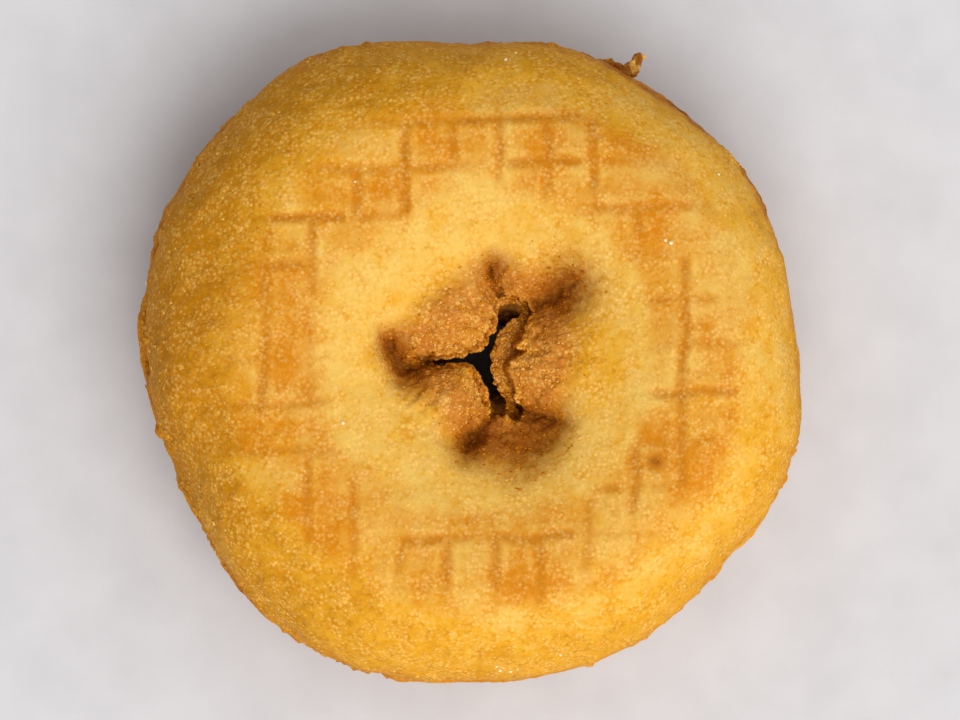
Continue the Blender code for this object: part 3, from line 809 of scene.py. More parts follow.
def tear_lips(skin, points, settings):
    """Tears the lips of the gap sideways and curls them, sets the faces below them back,
    and drops the face below a torn lip to its crumbly ledge."""
    section, count = skin.section, len(STATIONS)
    edges = gap_edges(points.shape[1])
    torn_back = smooth_step(*TORN_SHELF, np.hypot(edges[:, 0] - edges[:, 2],
                                                  edges[:, 1] - edges[:, 3]))
    near_lip = bell(section - count * (section > count / 2), 0.22)
    from_hole = np.stack((skin.hole_x, skin.hole_y), axis=-1)
    outwards = from_hole / np.maximum(skin.hole_radius, 1e-6)[..., None]
    jag = np.tanh(1.6 * texture(skin.points[0], "lip jags")) * JAG_DEPTH
    points[..., :2] += outwards * (near_lip * (0.5 + 1.5 * torn_back) * jag)[..., None]

    flat = skin.normals[..., :2]
    facing = flat / np.maximum(np.linalg.norm(flat, axis=-1), 0.3)[..., None]
    middle = 1 - 0.9 * smooth_step(*GAP_MIDDLE, skin.hole_radius)
    below = bell(section - (count - 0.5), 0.35) * (1 - torn_back) * middle
    at_ledge = bell(section - STATION_AT["ledge"], 0.4) * torn_back
    back = LIP_SETBACK * near_lip + FACE_SETBACK * below + LEDGE_SETBACK * at_ledge
    points[..., :2] -= facing * back[..., None]

    below_lip = (section > STATION_AT["ledge"] + 0.15) & (section < count)
    drop = smooth_step(0.0, 0.16, count - section) * (section - STATION_AT["ledge"])
    points[..., 2] -= np.where(below_lip, LEDGE_DROP * torn_back * drop, 0)
    curled = np.clip(0.5 + texture(skin.points, "lip curl"), 0, 1.2)
    points[..., 2] += CURL_HEIGHT * torn_back * near_lip * curled
    ledge_face = bell(section - count + 0.55, 0.4) * torn_back
    crumb = texture(points, "ledge crumb")
    points[..., 2] += settings.crater_roughness * 1.6 * ledge_face * crumb


def rough_up(skin, looks, settings):
    """The skin with its bumps along its normals, its ragged edge and its torn lips."""
    move = crust_bumps(skin, looks, settings) + edge_bumps(skin, settings)
    points = skin.points + skin.normals * move[..., None]
    tear_lips(skin, points, settings)
    return points


EDGE_ROOM = 0.35 * MM       # how near the box's sides a bump starts to be held back


def fit_crust(points, smooth):
    """Scales the roughened crust, axis by axis, by what brings the smooth skin to the solid
    model's box.  A bump that would pass within EDGE_ROOM of a side is eased in: what it
    stands past that line grows as a tanh, and so never reaches the side."""
    low, high = smooth.reshape(-1, 3).min(axis=0), smooth.reshape(-1, 3).max(axis=0)
    points = CAD_LOW + (points - low) * (CAD_HIGH - CAD_LOW) / (high - low)
    start = CAD_HIGH - EDGE_ROOM
    past = np.maximum(points - start, 0)
    points = np.minimum(points, start) + EDGE_ROOM * np.tanh(past / EDGE_ROOM)
    start = CAD_LOW + (EDGE_ROOM, EDGE_ROOM, 0)
    past = np.maximum(start - points, 0)
    return np.maximum(points, start) - (EDGE_ROOM, EDGE_ROOM, 0) * np.tanh(past / EDGE_ROOM)


def fit_cad_box(points):
    """Keeps a piece inside the solid model's box, by moving the strays onto its sides."""
    return np.clip(points, CAD_LOW + 1e-6, CAD_HIGH - 1e-6)


def crust_sections():
    """How far round the cross-section each row of the crust lies, in stations."""
    return np.concatenate([
        index + np.arange(station.rows) / station.rows
        for index, station in enumerate(STATIONS)
    ])


# --- Meshes ---------------------------------------------------------------------------


def shown_object(name, mesh, material, smooth=True):
    """Adds a piece of the doughnut, riding on its only body."""
    made = bpy.data.objects.new(name, mesh)
    bpy.context.scene.collection.objects.link(made)
    mesh.materials.append(material)
    mesh.polygons.foreach_set("use_smooth", [smooth] * len(mesh.polygons))
    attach(made, "root")
    return made


def closed_grid_faces(rows, columns):
    """Quads of a grid that closes on itself both ways, like a ring doughnut."""
    row, column = np.meshgrid(np.arange(rows), np.arange(columns), indexing="ij")
    next_row, next_column = (row + 1) % rows, (column + 1) % columns
    corners = [(row, column), (row, next_column), (next_row, next_column), (next_row, column)]
    return np.stack([r * columns + c for r, c in corners], axis=-1).reshape(-1, 4)


def mesh_from_arrays(name, points, faces, attributes=None):
    """A mesh from an array of points and one of faces that all have as many corners."""
    mesh = bpy.data.meshes.new(name)
    corners = faces.shape[1]
    mesh.vertices.add(len(points))
    mesh.vertices.foreach_set("co", np.ascontiguousarray(points, dtype=np.float32).ravel())
    mesh.loops.add(faces.size)
    mesh.loops.foreach_set("vertex_index", faces.astype(np.int32).ravel())
    mesh.polygons.add(len(faces))
    mesh.polygons.foreach_set("loop_start", np.arange(len(faces), dtype=np.int32) * corners)
    mesh.update(calc_edges=True)
    for label, values in (attributes or {}).items():
        layer = mesh.attributes.new(label, "FLOAT", "POINT")
        layer.data.foreach_set("value", np.ascontiguousarray(values, dtype=np.float32).ravel())
    mesh.validate()
    return mesh


def icosahedron():
    """Points and faces of a regular icosahedron of radius 1."""
    golden_ratio = (1 + 5**0.5) / 2
    points = []
    for first in (-1, 1):
        for second in (-golden_ratio, golden_ratio):
            points += [(0, first, second), (first, second, 0), (second, 0, first)]
    points = np.array(points) / math.hypot(1, golden_ratio)
    gap = np.linalg.norm(points[:, None] - points[None], axis=-1)
    near = gap < 1.1
    faces = []
    for a in range(12):
        for b in range(a + 1, 12):
            for c in range(b + 1, 12):
                if near[a, b] and near[b, c] and near[a, c]:
                    out = np.dot(np.cross(points[b] - points[a], points[c] - points[a]), points[a])
                    faces.append((a, b, c) if out > 0 else (a, c, b))
    return points, np.array(faces)


def scattered_bits(places, normals, sizes, sink, squash, random):
    """One small lumpy icosahedron at each place: its corners are pushed in and out at
    random, it is turned at random, squashed along the skin's normal, and sunk in it."""
    shape, faces = icosahedron()
    count = len(places)
    lumps = shape[None] * random.uniform(0.62, 1.15, (count, len(shape), 1))
    turn = random.normal(size=(count, 3, 3))
    turn, _ = np.linalg.qr(turn)
    turn *= np.sign(np.linalg.det(turn))[:, None, None]
    lumps = lumps @ turn
    along = (lumps * normals[:, None]).sum(axis=-1, keepdims=True)
    lumps = lumps - normals[:, None] * along * (1 - squash)
    points = places[:, None] + (lumps - normals[:, None] * sink) * sizes[:, None, None]
    all_faces = faces[None] + (np.arange(count) * len(shape))[:, None, None]
    return points.reshape(-1, 3), all_faces.reshape(-1, 3)


def pick_places(skin, moved, chance, count, random):
    """count places spread over the skin, likelier where chance is high: a weighted draw of
    faces by area times chance, and a random point in each."""
    across = np.roll(moved, -1, axis=0) - moved
    along = np.roll(moved, -1, axis=1) - moved
    area = np.linalg.norm(np.cross(across, along), axis=-1)
    weight = (area * chance).ravel()
    chosen = random.choice(weight.size, size=count, replace=False, p=weight / weight.sum())
    share = random.uniform(0, 1, (2, count, 1))
    spots = moved.reshape(-1, 3)[chosen] + across.reshape(-1, 3)[chosen] * share[0]
    spots = spots + along.reshape(-1, 3)[chosen] * share[1]
    return chosen, spots, skin.normals.reshape(-1, 3)[chosen]


# --- Materials ------------------------------------------------------------------------


def new_material(name):
    """A material, its nodes and their main shader."""
    made = bpy.data.materials.new(name)
    made.use_nodes = True
    return made, made.node_tree, made.node_tree.nodes["Principled BSDF"]


def add_node(tree, kind, **settings):
    """A node of that kind with its own settings."""
    made = tree.nodes.new(kind)
    for label, value in settings.items():
        setattr(made, label, value)
    return made


def feed(tree, socket, value):
    """Sets a socket to a number or colour, or links it to another socket."""
    if isinstance(value, bpy.types.NodeSocket):
        tree.links.new(value, socket)
    else:
        socket.default_value = value


def calculate(tree, operation, first, second=0.0, third=None, clamp=False):
    """One sum on numbers or sockets, kept from 0 to 1 if clamp is set."""
    node = add_node(tree, "ShaderNodeMath", operation=operation, use_clamp=clamp)
    feed(tree, node.inputs[0], first)
    feed(tree, node.inputs[1], second)
    if third is not None:
        feed(tree, node.inputs[2], third)
    return node.outputs[0]


def add_scaled(tree, value, factor, added, clamp=False):
    """Value times factor, plus what is added."""
    return calculate(tree, "MULTIPLY_ADD", value, factor, added, clamp)


def invert(tree, share):
    """1 less the share."""
    return calculate(tree, "SUBTRACT", 1.0, share)


def blend_colours(tree, share, first, second):
    """From the first colour at 0 to the second at 1.  Each is a socket or three numbers."""
    node = add_node(tree, "ShaderNodeMix", data_type="RGBA", clamp_factor=True)
    feed(tree, node.inputs["Factor"], share)
    for socket, tone in ((node.inputs[6], first), (node.inputs[7], second)):
        feed(tree, socket, tone if isinstance(tone, bpy.types.NodeSocket) else (*tone, 1.0))
    return node.outputs[2]


def noise(tree, place, size, detail=2.0, roughness=0.5):
    """Soft noise whose blobs are about that many metres across, from 0 to 1."""
    node = add_node(tree, "ShaderNodeTexNoise")
    tree.links.new(place, node.inputs["Vector"])
    node.inputs["Scale"].default_value = 1 / size
    node.inputs["Detail"].default_value = detail
    node.inputs["Roughness"].default_value = roughness
    return node.outputs["Fac"]


def ramp(tree, value, low, high):
    """0 below low, 1 above high, straight between."""
    node = add_node(tree, "ShaderNodeMapRange", clamp=True)
    feed(tree, node.inputs["Value"], value)
    node.inputs["From Min"].default_value = low
    node.inputs["From Max"].default_value = high
    return node.outputs["Result"]


def attribute(tree, name):
    """The share that the mesh carries under that name."""
    node = add_node(tree, "ShaderNodeAttribute", attribute_name=name)
    return node.outputs["Fac"]


def object_place(tree):
    """Where each point is on its object, in metres."""
    return add_node(tree, "ShaderNodeTexCoord").outputs["Object"]


# How light spreads under batter (how much, how far by colour, and its scale), and how strong
# and deep the finest relief is.
Batter = namedtuple("Batter", "spread reach scale bump_strength bump_depth")
CRUST_BATTER = Batter(0.12, (1.0, 0.45, 0.12), 1.0 * MM, 0.42, 0.22 * MM)
LOOSE_BATTER = Batter(0.15, (0.9, 0.5, 0.2), 0.6 * MM, 0.4, 0.08 * MM)


def finish_batter(tree, shader, colour, roughness, height, batter):
    """Sets all that makes batter: it hardly shines, light spreads a little under it, and
    height makes its finest relief."""
    bump = add_node(tree, "ShaderNodeBump")
    for node, socket, value in (
        (shader, "Base Color", colour), (shader, "Roughness", roughness),
        (shader, "Specular IOR Level", 0.05), (shader, "Subsurface Weight", batter.spread),
        (shader, "Subsurface Radius", batter.reach), (shader, "Subsurface Scale", batter.scale),
        (bump, "Strength", batter.bump_strength), (bump, "Distance", batter.bump_depth),
        (bump, "Height", height), (shader, "Normal", bump.outputs["Normal"]),
    ):
        feed(tree, node.inputs[socket], value)


def crust_material(colours):
    """Fried batter.  Colour goes from pale through golden and amber, then to orange, brown
    and dark, by the crust's own attributes; the side tones, the brown of the folds and the dark
    are partly painted light and shade.  Soft pale lumps gather in clumps, and the
    hollows between them are a deeper orange."""
    material, tree, shader = new_material("fried_crust")
    place = object_place(tree)
    clumps = noise(tree, place, 2.6 * MM, 3)
    mottle = noise(tree, place, 1.0 * MM, 2)
    lumps = noise(tree, place, 0.62 * MM, 2, 0.55)
    fine = noise(tree, place, 0.3 * MM, 2)
    uneven = calculate(tree, "SUBTRACT", mottle, 0.5)
    broad = calculate(tree, "SUBTRACT", clumps, 0.5)

    # The golden attribute is partly painted light: deeper on the left and top, paler on the right.
    golden_share = attribute(tree, "golden")
    golden = add_scaled(tree, uneven, 0.95, golden_share)
    colour = blend_colours(tree, ramp(tree, golden, 0.0, 0.5), colours.pale, colours.golden)
    colour = blend_colours(tree, ramp(tree, golden, 0.5, 1.0), colour, colours.amber)
    orange = add_scaled(tree, broad, 0.6, attribute(tree, "orange"))
    coarse = calculate(tree, "SUBTRACT", lumps, 0.5)
    hollow = invert(tree, ramp(tree, lumps, 0.32, 0.5))
    wider = invert(tree, ramp(tree, mottle, 0.36, 0.48))
    hollow = calculate(tree, "MAXIMUM", hollow, calculate(tree, "MULTIPLY", wider, 0.75))
    depth = add_scaled(tree, golden_share, 0.4, 0.14, clamp=True)
    orange = add_scaled(tree, hollow, depth, orange)
    colour = blend_colours(tree, orange, colour, colours.orange)
    pressed = add_scaled(tree, uneven, 0.5, attribute(tree, "pressed"))
    colour = blend_colours(tree, pressed, colour, colours.pressed)
    tan_share = attribute(tree, "tan")
    colour = blend_colours(tree, add_scaled(tree, broad, 0.3, tan_share), colour, colours.tan)
    # The brown and dark attributes are partly painted shade: in the folds and dips, down the hole,
    # in the seam's cleft and just below the lips.
    brown_share = attribute(tree, "brown")
    patchy = add_scaled(tree, coarse, 1.1, uneven)
    edge = calculate(tree, "SQRT", brown_share)
    brown = add_scaled(tree, patchy, edge, brown_share, clamp=True)
    colour = blend_colours(tree, brown, colour, colours.brown)
    dark_share = attribute(tree, "dark")
    dark = add_scaled(tree, patchy,
                     calculate(tree, "MULTIPLY", dark_share, 0.8), dark_share, clamp=True)
    colour = blend_colours(tree, dark, colour, colours.dark)

    cells = add_node(tree, "ShaderNodeTexVoronoi", feature="F1")
    tree.links.new(place, cells.inputs["Vector"])
    cells.inputs["Scale"].default_value = 1 / (0.62 * MM)
    grain = invert(tree, ramp(tree, cells.outputs["Distance"], 0.12, 0.62))
    gathered = ramp(tree, add_scaled(tree, mottle, 0.6, clumps), 0.66, 0.92)
    soft = calculate(tree, "MULTIPLY", ramp(tree, lumps, 0.46, 0.68), 0.55)
    flecks = calculate(tree, "MAXIMUM", soft, grain)
    flecks = calculate(tree, "MULTIPLY", flecks,
                       add_scaled(tree, gathered, 0.85, 0.15))
    # Flecks are hidden where the crust is brown, dark or orange; there the brown and dark are
    # partly painted shade.
    burnt_and_shaded = add_scaled(tree, brown_share, 0.25, dark_share, clamp=True)
    burnt_and_shaded = add_scaled(tree, orange, 0.4, burnt_and_shaded, clamp=True)
    shown = add_scaled(tree, golden_share, 0.62, 0.46, clamp=True)
    shown = calculate(tree, "MULTIPLY", shown, invert(tree, burnt_and_shaded))
    froth = blend_colours(tree, ramp(tree, golden_share, 0.2, 0.75), colours.crumb, colours.froth)
    froth = blend_colours(tree, ramp(tree, brown, 0.1, 0.7), froth, colours.toast)
    colour = blend_colours(tree, calculate(tree, "MULTIPLY", flecks, shown), colour, froth)

    roughness = add_scaled(tree, fine, 0.3, 0.42)
    height = add_scaled(tree, flecks, 0.7, fine)
    height = add_scaled(tree, lumps, 0.8, height)
    height = calculate(tree, "MULTIPLY", height,
                       add_scaled(tree, golden_share, 0.6, 0.4, clamp=True))
    height = add_scaled(tree, mottle, 0.5, height)
    finish_batter(tree, shader, colour, roughness, height, CRUST_BATTER)
    return material


def grain_material(name, *tones):
    """Loose bits in tones from light to dark, evenly spaced along the bit's own tint.  The
    tint is mottled a little by noise."""
    material, tree, shader = new_material(name)
    place = object_place(tree)
    mottle = noise(tree, place, 0.5 * MM, 2)
    uneven = calculate(tree, "SUBTRACT", mottle, 0.5)
    tint = add_scaled(tree, uneven, 0.5, attribute(tree, "tint"))
    colour = tones[0]
    step = 1 / (len(tones) - 1)
    for index, tone in enumerate(tones[1:]):
        share = ramp(tree, tint, index * step, (index + 1) * step)
        colour = blend_colours(tree, share, colour, tone)
    roughness = add_scaled(tree, mottle, 0.3, 0.4)
    finish_batter(tree, shader, colour, roughness, mottle, LOOSE_BATTER)
    return material


# --- Operators ------------------------------------------------------------------------

shared = {}
COLOUR_MASKS = ("golden", "orange", "pressed", "tan", "brown", "dark")


def dressed_skin(settings):
    """The crust's grid, worked out once for all the pieces that sit on it."""
    if "skin" not in shared:
        skin = Skin(crust_sections(), CRUST_COLUMNS)
        looks = browning(skin, settings)
        moved = fit_crust(rough_up(skin, looks, settings), skin.points)
        shared["skin"] = skin, looks, moved
    return shared["skin"]


class DOUGHNUT_OT_crust(bpy.types.Operator):
    """Build the fried crust over the whole doughnut"""

    bl_idname = "doughnut.crust"
    bl_label = "Crust"

    def execute(self, context):
        _, looks, moved = dressed_skin(context.scene.doughnut_surface)
        rows, columns = moved.shape[:2]
        masks = {name: looks[name] for name in COLOUR_MASKS}
        mesh = mesh_from_arrays("crust", moved.reshape(-1, 3), closed_grid_faces(rows, columns),
                                masks)
        crust = shown_object("crust", mesh, crust_material(context.scene.doughnut_colours))
        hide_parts(NODE)
        return {"FINISHED"}


def add_grains(name, settings, colours, chance, sizes, seed):
    """Sits loose grains in the crust where chance is high, each tinted as the crust there."""
    skin, looks, moved = dressed_skin(settings)
    random = np.random.default_rng(seed)
    chosen, spots, normals = pick_places(skin, moved, chance, settings.grain_count, random)
    radii = random.uniform(*sizes, len(spots)) * MM
    points, faces = scattered_bits(spots, normals, radii, 0.4, 0.5, random)
    # Grains take the crust's brown, which is partly painted shade in the folds and below the lips.
    tint = 0.9 * looks["brown"] + 0.35 * looks["tan"] + 0.3 * looks["orange"]
    tint = np.clip(tint.ravel()[chosen] + random.uniform(-0.1, 0.36, len(spots)), 0, 1)
    mesh = mesh_from_arrays(name, fit_cad_box(points), faces, {"tint": np.repeat(tint, 12)})
    shown_object(name, mesh, grain_material(name, colours.froth, colours.grain, colours.orange,
                                            colours.brown))


class DOUGHNUT_OT_grains(bpy.types.Operator):
    """Scatter the pale grains that stand out of the crust, thicker round the waist"""

    bl_idname = "doughnut.grains"
    bl_label = "Grains"

    def execute(self, context):
        settings, colours = context.scene.doughnut_surface, context.scene.doughnut_colours
        skin, looks, moved = dressed_skin(settings)
        clump = 0.5 + 0.3 * soft_noise(skin.points, 2.4 * MM, 41)
        clump += 0.3 * soft_noise(skin.points, 1.1 * MM, 42)
        chance = (0.06 + np.clip(clump, 0, 1) ** 3) * (1 - looks["dark"]) ** 2
        above = np.where(moved[..., 2] < 6 * MM, 0.25, 1.0)
        add_grains("crust_grains", settings, colours, chance * above, (0.14, 0.32), settings.seed)
        angle = np.arctan2(moved[..., 1], moved[..., 0])
        flank = bell(moved[..., 2] - 16 * MM, 8 * MM) * (skin.section < STATION_AT["funnel"])
        flank = flank * (0.35 + lobe_sum(angle, (Lobe(190, 80, 1.0),)))
        add_grains("flank_grains", settings, colours, chance * flank, (0.2, 0.5),
                   settings.seed + 3)
        return {"FINISHED"}


CRUMB_REACH = 19 * MM       # from the hole's centre


class DOUGHNUT_OT_crumbs(bpy.types.Operator):
    """Cling torn crumbs to the lips and pads round the hole"""

    bl_idname = "doughnut.crumbs"
    bl_label = "Crumbs round the hole"

    def execute(self, context):
        settings = context.scene.doughnut_surface
        skin, looks, moved = dressed_skin(settings)
        random = np.random.default_rng(settings.seed + 1)
        count = len(STATIONS)
        browned = 0.22 * looks["tan"] + 0.45 * looks["brown"]
        chance = bell(skin.from_lip, 0.55) + browned * (skin.hole_radius < CRUMB_REACH)
        clump = 0.5 + 0.5 * soft_noise(skin.points, 1.5 * MM, 43)
        chance = chance * clump * (skin.section < STATION_AT["shoulder"])
        chance += 1.6 * bell(skin.section - count + 0.45, 0.4)
        chosen, spots, normals = pick_places(skin, moved, chance, settings.crumb_count, random)
        sizes = 0.13 * MM + 0.27 * MM * random.uniform(0, 1, len(spots)) ** 2
        points, faces = scattered_bits(spots, normals, sizes, 0.3, 0.7, random)
        # Crumbs take the crust's brown and dark, which are partly painted shade.
        tint = 0.28 + 0.6 * looks["brown"] + 0.5 * looks["dark"]
        on_ledge = skin.section > STATION_AT["ledge"] + 0.15
        # Painted shadow: crumbs on the ledge right under a torn lip are tinted darker.
        shade_under_lip = on_ledge * smooth_step(0.36, 0.12, count - skin.section)
        tint = (tint - 0.04 * on_ledge + 0.5 * shade_under_lip).ravel()[chosen]
        tint = np.clip(tint + random.uniform(-0.36, 0.3, len(spots)), 0, 1)
        mesh = mesh_from_arrays("hole_crumbs", fit_cad_box(points), faces,
                                {"tint": np.repeat(tint, 12)})
        colours = context.scene.doughnut_colours
        material = grain_material("torn_crumb", colours.torn, colours.orange, colours.brown)
        shown_object("hole_crumbs", mesh, material)
        return {"FINISHED"}


# The scrap's two lobes, each as points along it: place and thickness, in mm.
SCRAP_FLAKE = ((16.4, 39.4, 13.8, 1.2), (18.6, 41.0, 14.2, 1.1), (20.4, 40.7, 14.4, 1.5),
               (21.8, 39.6, 14.0, 1.3))
SCRAP_NUB = ((20.2, 38.2, 13.8, 2.2), (21.4, 39.4, 14.6, 2.3), (22.4, 40.6, 14.6, 2.1),
             (23.6, 41.9, 14.2, 1.6), (24.4, 42.1, 13.8, 0.9))
SCRAP_ROWS, SCRAP_COLUMNS = 48, 36


def tube_faces(rows, columns):
    """Triangles of a tube of rings, then a cap to one point at each end: the points are
    numbered ring by ring, and the two end points come last."""
    row, column = np.meshgrid(np.arange(rows - 1), np.arange(columns), indexing="ij")
    here, beside = row * columns + column, row * columns + (column + 1) % columns
    side = np.stack((here, beside, beside + columns, here, beside + columns, here + columns), -1)
    column = np.arange(columns)
    beside = (column + 1) % columns
    first, last = np.full(columns, rows * columns), np.full(columns, rows * columns + 1)
    above = (rows - 1) * columns
    return np.concatenate((
        side.reshape(-1, 3),
        np.stack((beside, column, first), axis=-1),
        np.stack((above + column, above + beside, last), axis=-1),
    ))


def scrap_lobe(stops):
    """A blob along a smooth curve through the stops: round in section, closed to a point at
    both ends, then roughened by noise along its normals."""
    stops = np.array(stops) * MM
    padded = np.concatenate((2 * stops[:1] - stops[1:2], stops, 2 * stops[-1:] - stops[-2:-1]))
    along = np.linspace(0, len(stops) - 1 - 1e-9, SCRAP_ROWS + 2)
    index = along.astype(int)
    curve = between(*(padded[index + step] for step in range(4)), (along - index)[:, None])
    ends = np.sqrt(np.clip(1 - (2 * along / along[-1] - 1) ** 4, 0, 1))
    direction = np.gradient(curve[:, :3], axis=0)
    direction /= np.linalg.norm(direction, axis=1)[:, None]
    side = np.cross(direction, (0.0, 0.0, 1.0))
    side /= np.linalg.norm(side, axis=1)[:, None]
    top = np.cross(side, direction)
    turn = np.linspace(0, 2 * math.pi, SCRAP_COLUMNS, endpoint=False)[None, :, None]
    out = side[1:-1, None] * np.cos(turn) + 0.75 * top[1:-1, None] * np.sin(turn)
    radius = (curve[1:-1, 3] / 2 * ends[1:-1])[:, None, None]
    points = curve[1:-1, None, :3] + out * radius
    rough = 0.4 * soft_noise(points, 0.9 * MM, 51) + 0.3 * soft_noise(points, 0.4 * MM, 52)
    rough = rough - 0.35 * grainy(points, 0.8 * MM, 53) + 0.2
    points += out * radius * rough[..., None] * 1.3
    points = np.concatenate((points.reshape(-1, 3), curve[:1, :3], curve[-1:, :3]))
    from_middle = np.hypot(points[:, 0], points[:, 1])
    tint = 0.85 - 0.5 * smooth_step(43.6 * MM, 47.2 * MM, from_middle)
    tint += 0.45 * soft_noise(points, 0.9 * MM, 54)
    return points, tube_faces(SCRAP_ROWS, SCRAP_COLUMNS), tint


class DOUGHNUT_OT_scrap(bpy.types.Operator):
    """Add the crisp scrap of batter at the waist"""

    bl_idname = "doughnut.scrap"
    bl_label = "Batter scrap"

    def execute(self, context):
        lobes = [scrap_lobe(stops) for stops in (SCRAP_FLAKE, SCRAP_NUB)]
        points = np.concatenate([lobe[0] for lobe in lobes])
        faces = np.concatenate((lobes[0][1], lobes[1][1] + len(lobes[0][0])))
        tint = np.clip(np.concatenate([lobe[2] for lobe in lobes]), 0, 1)
        mesh = mesh_from_arrays("batter_scrap", fit_cad_box(points), faces, {"tint": tint})
        colours = context.scene.doughnut_colours
        material = grain_material("crisp_batter", colours.froth, colours.crisp, colours.brown,
                                  colours.dark)
        shown_object("batter_scrap", mesh, material)
        return {"FINISHED"}


# Stray sugar and flour on the crust: place and size, in mm.
SUGAR = ((-17.0, -8.2, 0.34), (5.0, 41.0, 0.30), (6.2, 42.2, 0.22), (3.8, -41.5, 0.22),
         (12.4, -40.0, 0.22), (27.2, 16.1, 0.34), (26.4, 16.3, 0.26), (-15.4, 24.2, 0.20),
         (34.0, 25.6, 0.28), (-45.0, 10.9, 0.34), (4.3, -42.0, 0.32), (4.7, -41.7, 0.20),
         (5.9, -42.3, 0.28), (6.8, -41.9, 0.18))


class DOUGHNUT_OT_sugar(bpy.types.Operator):
    """Drop a few white specks of sugar and flour"""

    bl_idname = "doughnut.sugar"
    bl_label = "Sugar specks"

    def execute(self, context):
        skin, _, moved = dressed_skin(context.scene.doughnut_surface)
        random = np.random.default_rng(context.scene.doughnut_surface.seed + 2)
        wanted = np.array(SUGAR) * MM
        flat = moved[:, :, :2].reshape(-1, 2)
        upper = moved[:, :, 2].reshape(-1) > 12 * MM
        away = np.linalg.norm(flat[None] - wanted[:, None, :2], axis=-1) + 1.0 * ~upper
        chosen = away.argmin(axis=1)
        spots = moved.reshape(-1, 3)[chosen]
        normals = skin.normals.reshape(-1, 3)[chosen]
        points, faces = scattered_bits(spots, normals, wanted[:, 2], -0.1, 0.8, random)
        mesh = mesh_from_arrays("sugar_specks", fit_cad_box(points), faces)
        material, tree, shader = new_material("sugar")
        place = object_place(tree)
        colours = context.scene.doughnut_colours
        colour = blend_colours(tree, ramp(tree, noise(tree, place, 0.3 * MM), 0.35, 0.8),
                               colours.sugar, colours.crumb)
        tree.links.new(colour, shader.inputs["Base Color"])
        shader.inputs["Roughness"].default_value = 0.35
        shader.inputs["Subsurface Weight"].default_value = 0.2
        shader.inputs["Subsurface Scale"].default_value = 0.5 * MM
        shown_object("sugar_specks", mesh, material, smooth=False)
        return {"FINISHED"}


# The overhead view: an image this wide and high, and what one pixel of it covers at the
# height of the waist.  The doughnut's middle is a little left of the image's.
IMAGE_SIZE = (960, 720)
PIXEL_SIZE = 0.138 * MM
MIDDLE_PIXEL = (469, 362)
CAMERA_HEIGHT = 0.8                 # above the waist
WAIST_LEVEL = 13.8 * MM
TABLE_WIDTH = 3.0


def soft_lamp(name, place, size, power, colour):
    """A square lamp that faces the doughnut."""
    lamp = bpy.data.lights.new(name, "AREA")
    lamp.energy, lamp.size, lamp.color = power, size, colour
    made = bpy.data.objects.new(name, lamp)
    made.location = place
    made.rotation_euler = (-Vector(place)).to_track_quat("-Z", "Y").to_euler()
    bpy.context.scene.collection.objects.link(made)


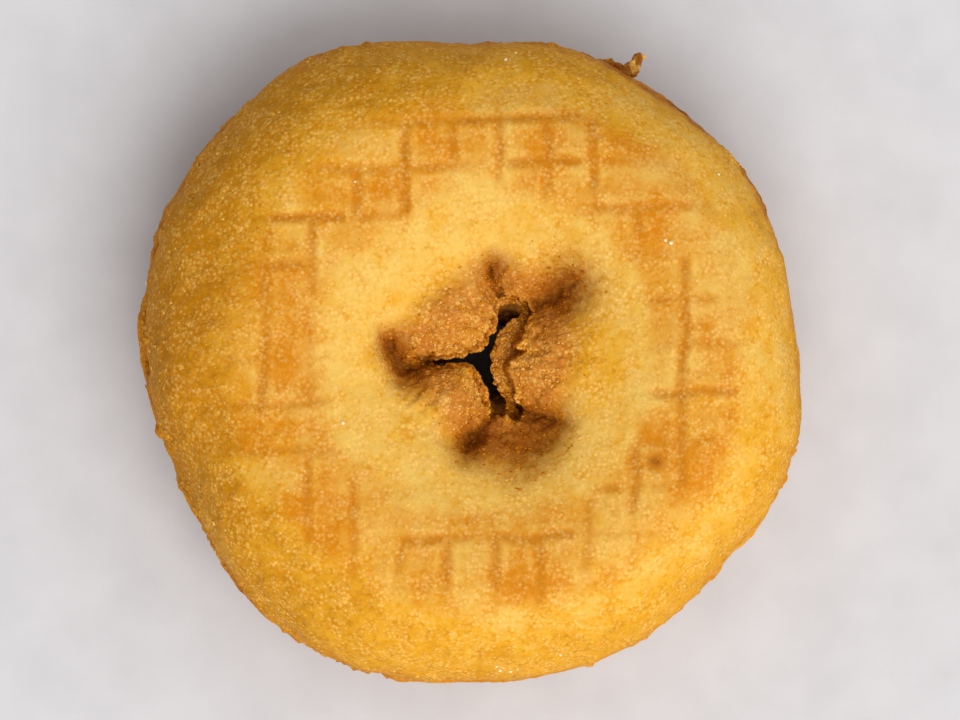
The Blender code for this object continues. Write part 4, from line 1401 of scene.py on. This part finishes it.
class DOUGHNUT_OT_stage(bpy.types.Operator):
    """Lay the pale table, light it softly from the lower right, and look straight down"""

    bl_idname = "doughnut.stage"
    bl_label = "Stage"

    def execute(self, context):
        scene = context.scene
        corners = np.array(((-1, -1, 0), (1, -1, 0), (1, 1, 0), (-1, 1, 0))) * TABLE_WIDTH / 2
        mesh = mesh_from_arrays("table", corners, np.array(((0, 1, 2, 3),)))
        material, tree, shader = new_material("pale_table")
        place = object_place(tree)
        paper = scene.doughnut_colours.paper
        faint = tuple(0.93 * channel for channel in paper)
        shade = ramp(tree, noise(tree, place, 9 * MM, 4), 0.35, 0.7)
        tree.links.new(blend_colours(tree, shade, paper, faint),
                       shader.inputs["Base Color"])
        shader.inputs["Roughness"].default_value = 0.85
        shader.inputs["Specular IOR Level"].default_value = 0.2
        mesh.materials.append(material)
        table = bpy.data.objects.new("table", mesh)
        scene.collection.objects.link(table)
        table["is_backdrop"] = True

        world = bpy.data.worlds.new("soft_room")
        world.use_nodes = True
        backdrop = world.node_tree.nodes["Background"]
        backdrop.inputs["Color"].default_value = (0.96, 0.97, 1.0, 1.0)
        backdrop.inputs["Strength"].default_value = 0.56
        scene.world = world
        soft_lamp("window", (0.50, -1.36, 1.75), 2.1, 52.0, (1.0, 0.99, 0.982))
        soft_lamp("room", (1.45, 0.10, 1.85), 1.8, 11.0, (1.0, 0.99, 0.98))

        lens = bpy.data.cameras.new("overhead")
        lens.sensor_width = 36
        lens.lens = lens.sensor_width * CAMERA_HEIGHT / (IMAGE_SIZE[0] * PIXEL_SIZE)
        camera = bpy.data.objects.new("overhead", lens)
        camera.location = ((IMAGE_SIZE[0] / 2 - MIDDLE_PIXEL[0]) * PIXEL_SIZE,
                           (MIDDLE_PIXEL[1] - IMAGE_SIZE[1] / 2) * PIXEL_SIZE,
                           CAMERA_HEIGHT + WAIST_LEVEL)
        scene.collection.objects.link(camera)
        scene.camera = camera
        scene.view_settings.view_transform = "Standard"
        return {"FINISHED"}


class DOUGHNUT_PT_panel(bpy.types.Panel):
    """Lists the doughnut's sizes, colours and pieces"""

    bl_idname = "DOUGHNUT_PT_panel"
    bl_label = "Doughnut"
    bl_space_type = "VIEW_3D"
    bl_region_type = "UI"
    bl_category = "Doughnut"

    def draw(self, context):
        column = self.layout.column()
        for group in (context.scene.doughnut_surface, context.scene.doughnut_colours):
            for name in type(group).__annotations__:
                column.prop(group, name)
        for operator in OPERATORS:
            column.operator(operator.bl_idname)


OPERATORS = (
    DOUGHNUT_OT_crust,
    DOUGHNUT_OT_grains,
    DOUGHNUT_OT_crumbs,
    DOUGHNUT_OT_scrap,
    DOUGHNUT_OT_sugar,
    DOUGHNUT_OT_stage,
)
CLASSES = (DoughnutSurface, DoughnutColours, *OPERATORS, DOUGHNUT_PT_panel)


def register():
    for made in CLASSES:
        bpy.utils.register_class(made)
    bpy.types.Scene.doughnut_surface = PointerProperty(type=DoughnutSurface)
    bpy.types.Scene.doughnut_colours = PointerProperty(type=DoughnutColours)


def unregister():
    del bpy.types.Scene.doughnut_colours
    del bpy.types.Scene.doughnut_surface
    for made in reversed(CLASSES):
        bpy.utils.unregister_class(made)


def main():
    register()
    bpy.ops.doughnut.crust()
    bpy.ops.doughnut.grains()
    bpy.ops.doughnut.crumbs()
    bpy.ops.doughnut.scrap()
    bpy.ops.doughnut.sugar()
    bpy.ops.doughnut.stage()


if __name__ == "__main__":
    main()
